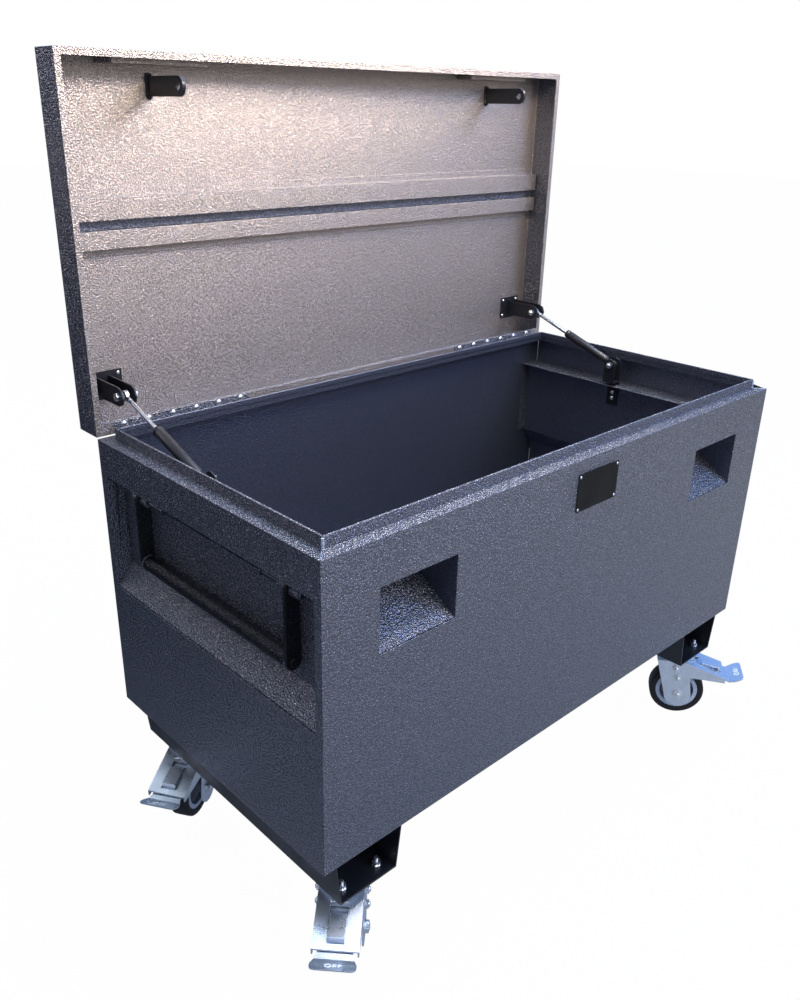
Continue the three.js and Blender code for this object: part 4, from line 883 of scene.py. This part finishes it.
# The studio: the camera sees plain white round the box. Reflections and soft light see a room
# that is bright towards the front right and dim navy at the rear left, above a floor that fades
# the same way.
studio = {
    "floorSize": 40.0,
    "floorColour": "#b9bcc2",
    "floorWhite": 0.985,  # share of plain white where the camera sees the floor
    "floorReach": (-3.0, 9.0),
    "brightSide": (0.5, -0.86, 0.0),
    "roomStrength": 1.1,
    "roomStops": [(0.0, "#141f30"), (0.35, "#26344a"), (0.55, "#8f97a5"), (0.75, "#f1e6df"),
                  (1.0, "#fff6ee")],
    "skyStops": [(0.0, "#b9b0bc"), (0.35, "#8e97b2"), (0.62, "#5f95e4"), (1.0, "#6f9fe6")],
    "skySpan": (0.02, 0.24),  # heights over which the walls turn into the sky
    "zenithColour": "#dbe7f2",
    "zenithSpan": (0.5, 0.95),
    "floorStops": [(0.0, "#121a29"), (0.14, "#26334a"), (0.28, "#98a3b8"), (0.34, "#c0c7d4"),
                   (0.41, "#dbdfe6"), (0.47, "#58575c"), (0.62, "#676467"), (0.85, "#f2e8e2"),
                   (1.0, "#fff4ec")],
    "lamps": [
        {"name": "keyLamp", "at": (0.6, -2.9, 2.6), "towards": (0.0, -0.1, 0.6),
         "size": (2.2, 1.6), "power": 38, "colour": "#fff1e6"},
        {"name": "lidLamp", "at": (0.33, -0.2, 1.85), "towards": (0.1, 0.36, 1.42),
         "size": (1.9, 0.2), "power": 27, "colour": "#ffecd6"},
        {"name": "topLamp", "at": (0.2, -0.2, 3.8), "towards": (0.0, 0.0, 0.6),
         "size": (2.6, 2.0), "power": 95, "colour": "#c3d8ff"},
        {"name": "skyLamp", "at": (1.7, -2.2, 3.0), "towards": (0.2, -0.25, 0.65),
         "size": (1.4, 1.0), "power": 60, "colour": "#98b9f6"},
        {"name": "rampLamp", "at": (-2.3, 4.8, 2.7), "towards": (-0.6, 0.0, 0.6),
         "size": (1.5, 0.8), "power": 30, "colour": "#fff0e8"},
        {"name": "rearLamp", "at": (0.6, 3.4, 2.2), "towards": (0.0, 0.2, 0.8),
         "size": (2.4, 1.6), "power": 30, "colour": "#ffffff"},
    ],
}


# how far a direction or place lies towards a side, from 0 to 1 over the limits given
def shareTowards(tree, vector, side, low, high):
    dot = addNode(tree, "ShaderNodeVectorMath", {"operation": "DOT_PRODUCT"},
                  {1: side}, {0: vector})
    return addNode(tree, "ShaderNodeMapRange", None, {"From Min": low, "From Max": high},
                   {"Value": dot.outputs["Value"]}).outputs["Result"]


def toneAlong(tree, factor, stops):
    ramp = addNode(tree, "ShaderNodeValToRGB", None, None, {"Fac": factor})
    setRamp(ramp, [(place, toLinear(colour)) for place, colour in stops])
    return ramp.outputs["Color"]


def makeFloor(spec):
    half = spec["floorSize"] / 2
    mesh = bpy.data.meshes.new("floor")
    corners = [[-half, -half, 0], [half, -half, 0], [half, half, 0], [-half, half, 0]]
    mesh.from_pydata(corners, [], [[0, 1, 2, 3]])
    floor = bpy.data.objects.new("floor", mesh)
    scene.collection.objects.link(floor)
    material, tree, shader, where = startMaterial("pale_floor")
    shader.inputs["Base Color"].default_value = toLinear(spec["floorColour"])
    shader.inputs["Roughness"].default_value = 0.8
    shader.inputs["Specular IOR Level"].default_value = 0.2
    reach = shareTowards(tree, where, spec["brightSide"], *spec["floorReach"])
    fading = addNode(tree, "ShaderNodeEmission", None, {"Strength": 1.0},
                     {"Color": toneAlong(tree, reach, spec["floorStops"])})
    white = addNode(tree, "ShaderNodeEmission", None, {"Color": (1, 1, 1, 1), "Strength": 1.0})
    rays = addNode(tree, "ShaderNodeLightPath")
    share = addNode(tree, "ShaderNodeMath", {"operation": "MULTIPLY"}, {1: spec["floorWhite"]},
                    {0: rays.outputs["Is Camera Ray"]})
    reflected = addNode(tree, "ShaderNodeMixShader", None, None,
                        {0: rays.outputs["Is Glossy Ray"], 1: shader.outputs[0],
                         2: fading.outputs[0]})
    mix = addNode(tree, "ShaderNodeMixShader", None, None,
                  {0: share.outputs[0], 1: reflected.outputs[0], 2: white.outputs[0]})
    tree.links.new(mix.outputs[0], tree.nodes["Material Output"].inputs["Surface"])
    mesh.materials.append(material)


def makeRoom(spec):
    world = bpy.data.worlds.new("studio")
    scene.world = world
    world.use_nodes = True
    tree = world.node_tree
    room = tree.nodes["Background"]
    where = addNode(tree, "ShaderNodeTexCoord").outputs["Generated"]
    bright = shareTowards(tree, where, spec["brightSide"], -1.0, 1.0)
    side = toneAlong(tree, bright, spec["roomStops"])
    right = shareTowards(tree, where, (1, 0, 0), -1.0, 1.0)
    band = toneAlong(tree, right, spec["skyStops"])
    upward = shareTowards(tree, where, (0, 0, 1), *spec["skySpan"])
    sky = addNode(tree, "ShaderNodeMix", {"data_type": "RGBA"}, None, {0: upward, 6: side, 7: band})
    overhead = shareTowards(tree, where, (0, 0, 1), *spec["zenithSpan"])
    whole = addNode(tree, "ShaderNodeMix", {"data_type": "RGBA"},
                    {7: toLinear(spec["zenithColour"])}, {0: overhead, 6: sky.outputs[2]})
    tree.links.new(whole.outputs[2], room.inputs["Color"])
    room.inputs["Strength"].default_value = spec["roomStrength"]
    backdrop = addNode(tree, "ShaderNodeBackground", None, {"Color": (1, 1, 1, 1), "Strength": 1.0})
    rays = addNode(tree, "ShaderNodeLightPath")
    mix = addNode(tree, "ShaderNodeMixShader", None, None,
                  {0: rays.outputs["Is Camera Ray"], 1: room.outputs[0], 2: backdrop.outputs[0]})
    tree.links.new(mix.outputs[0], tree.nodes["World Output"].inputs["Surface"])


def makeLamp(lamp):
    light = bpy.data.lights.new(lamp["name"], "AREA")
    light.shape = "RECTANGLE"
    light.size, light.size_y = lamp["size"]
    light.energy = lamp["power"]
    light.color = toLinear(lamp["colour"])[:3]
    holder = bpy.data.objects.new(lamp["name"], light)
    scene.collection.objects.link(holder)
    holder.location = lamp["at"]
    aim = Vector(lamp["towards"]) - Vector(lamp["at"])
    holder.rotation_euler = aim.to_track_quat("-Z", "Y").to_euler()


makeFloor(studio)
makeRoom(studio)
for lamp in studio["lamps"]:
    makeLamp(lamp)

# the photograph's camera, solved from the box's straight edges
cameraSpec = {
    "at": (-1.264657, -1.122803, 1.342277),
    "rows": ((0.7344924, -0.6784246, 0.0161530), (0.2564085, 0.2994803, 0.9190028),
             (-0.6283116, -0.6708588, 0.3939199)),
    "lens": 32.837,
    "sensor": 36,
    "shift": (0.01605, -0.00346),
}
lens = bpy.data.cameras.new("camera")
lens.lens = cameraSpec["lens"]
lens.sensor_width = cameraSpec["sensor"]
lens.shift_x, lens.shift_y = cameraSpec["shift"]
camera = bpy.data.objects.new("camera", lens)
scene.collection.objects.link(camera)
turn = Matrix(cameraSpec["rows"]).transposed().to_4x4()
camera.matrix_world = Matrix.Translation(cameraSpec["at"]) @ turn
scene.camera = camera
print("studio and camera ready")
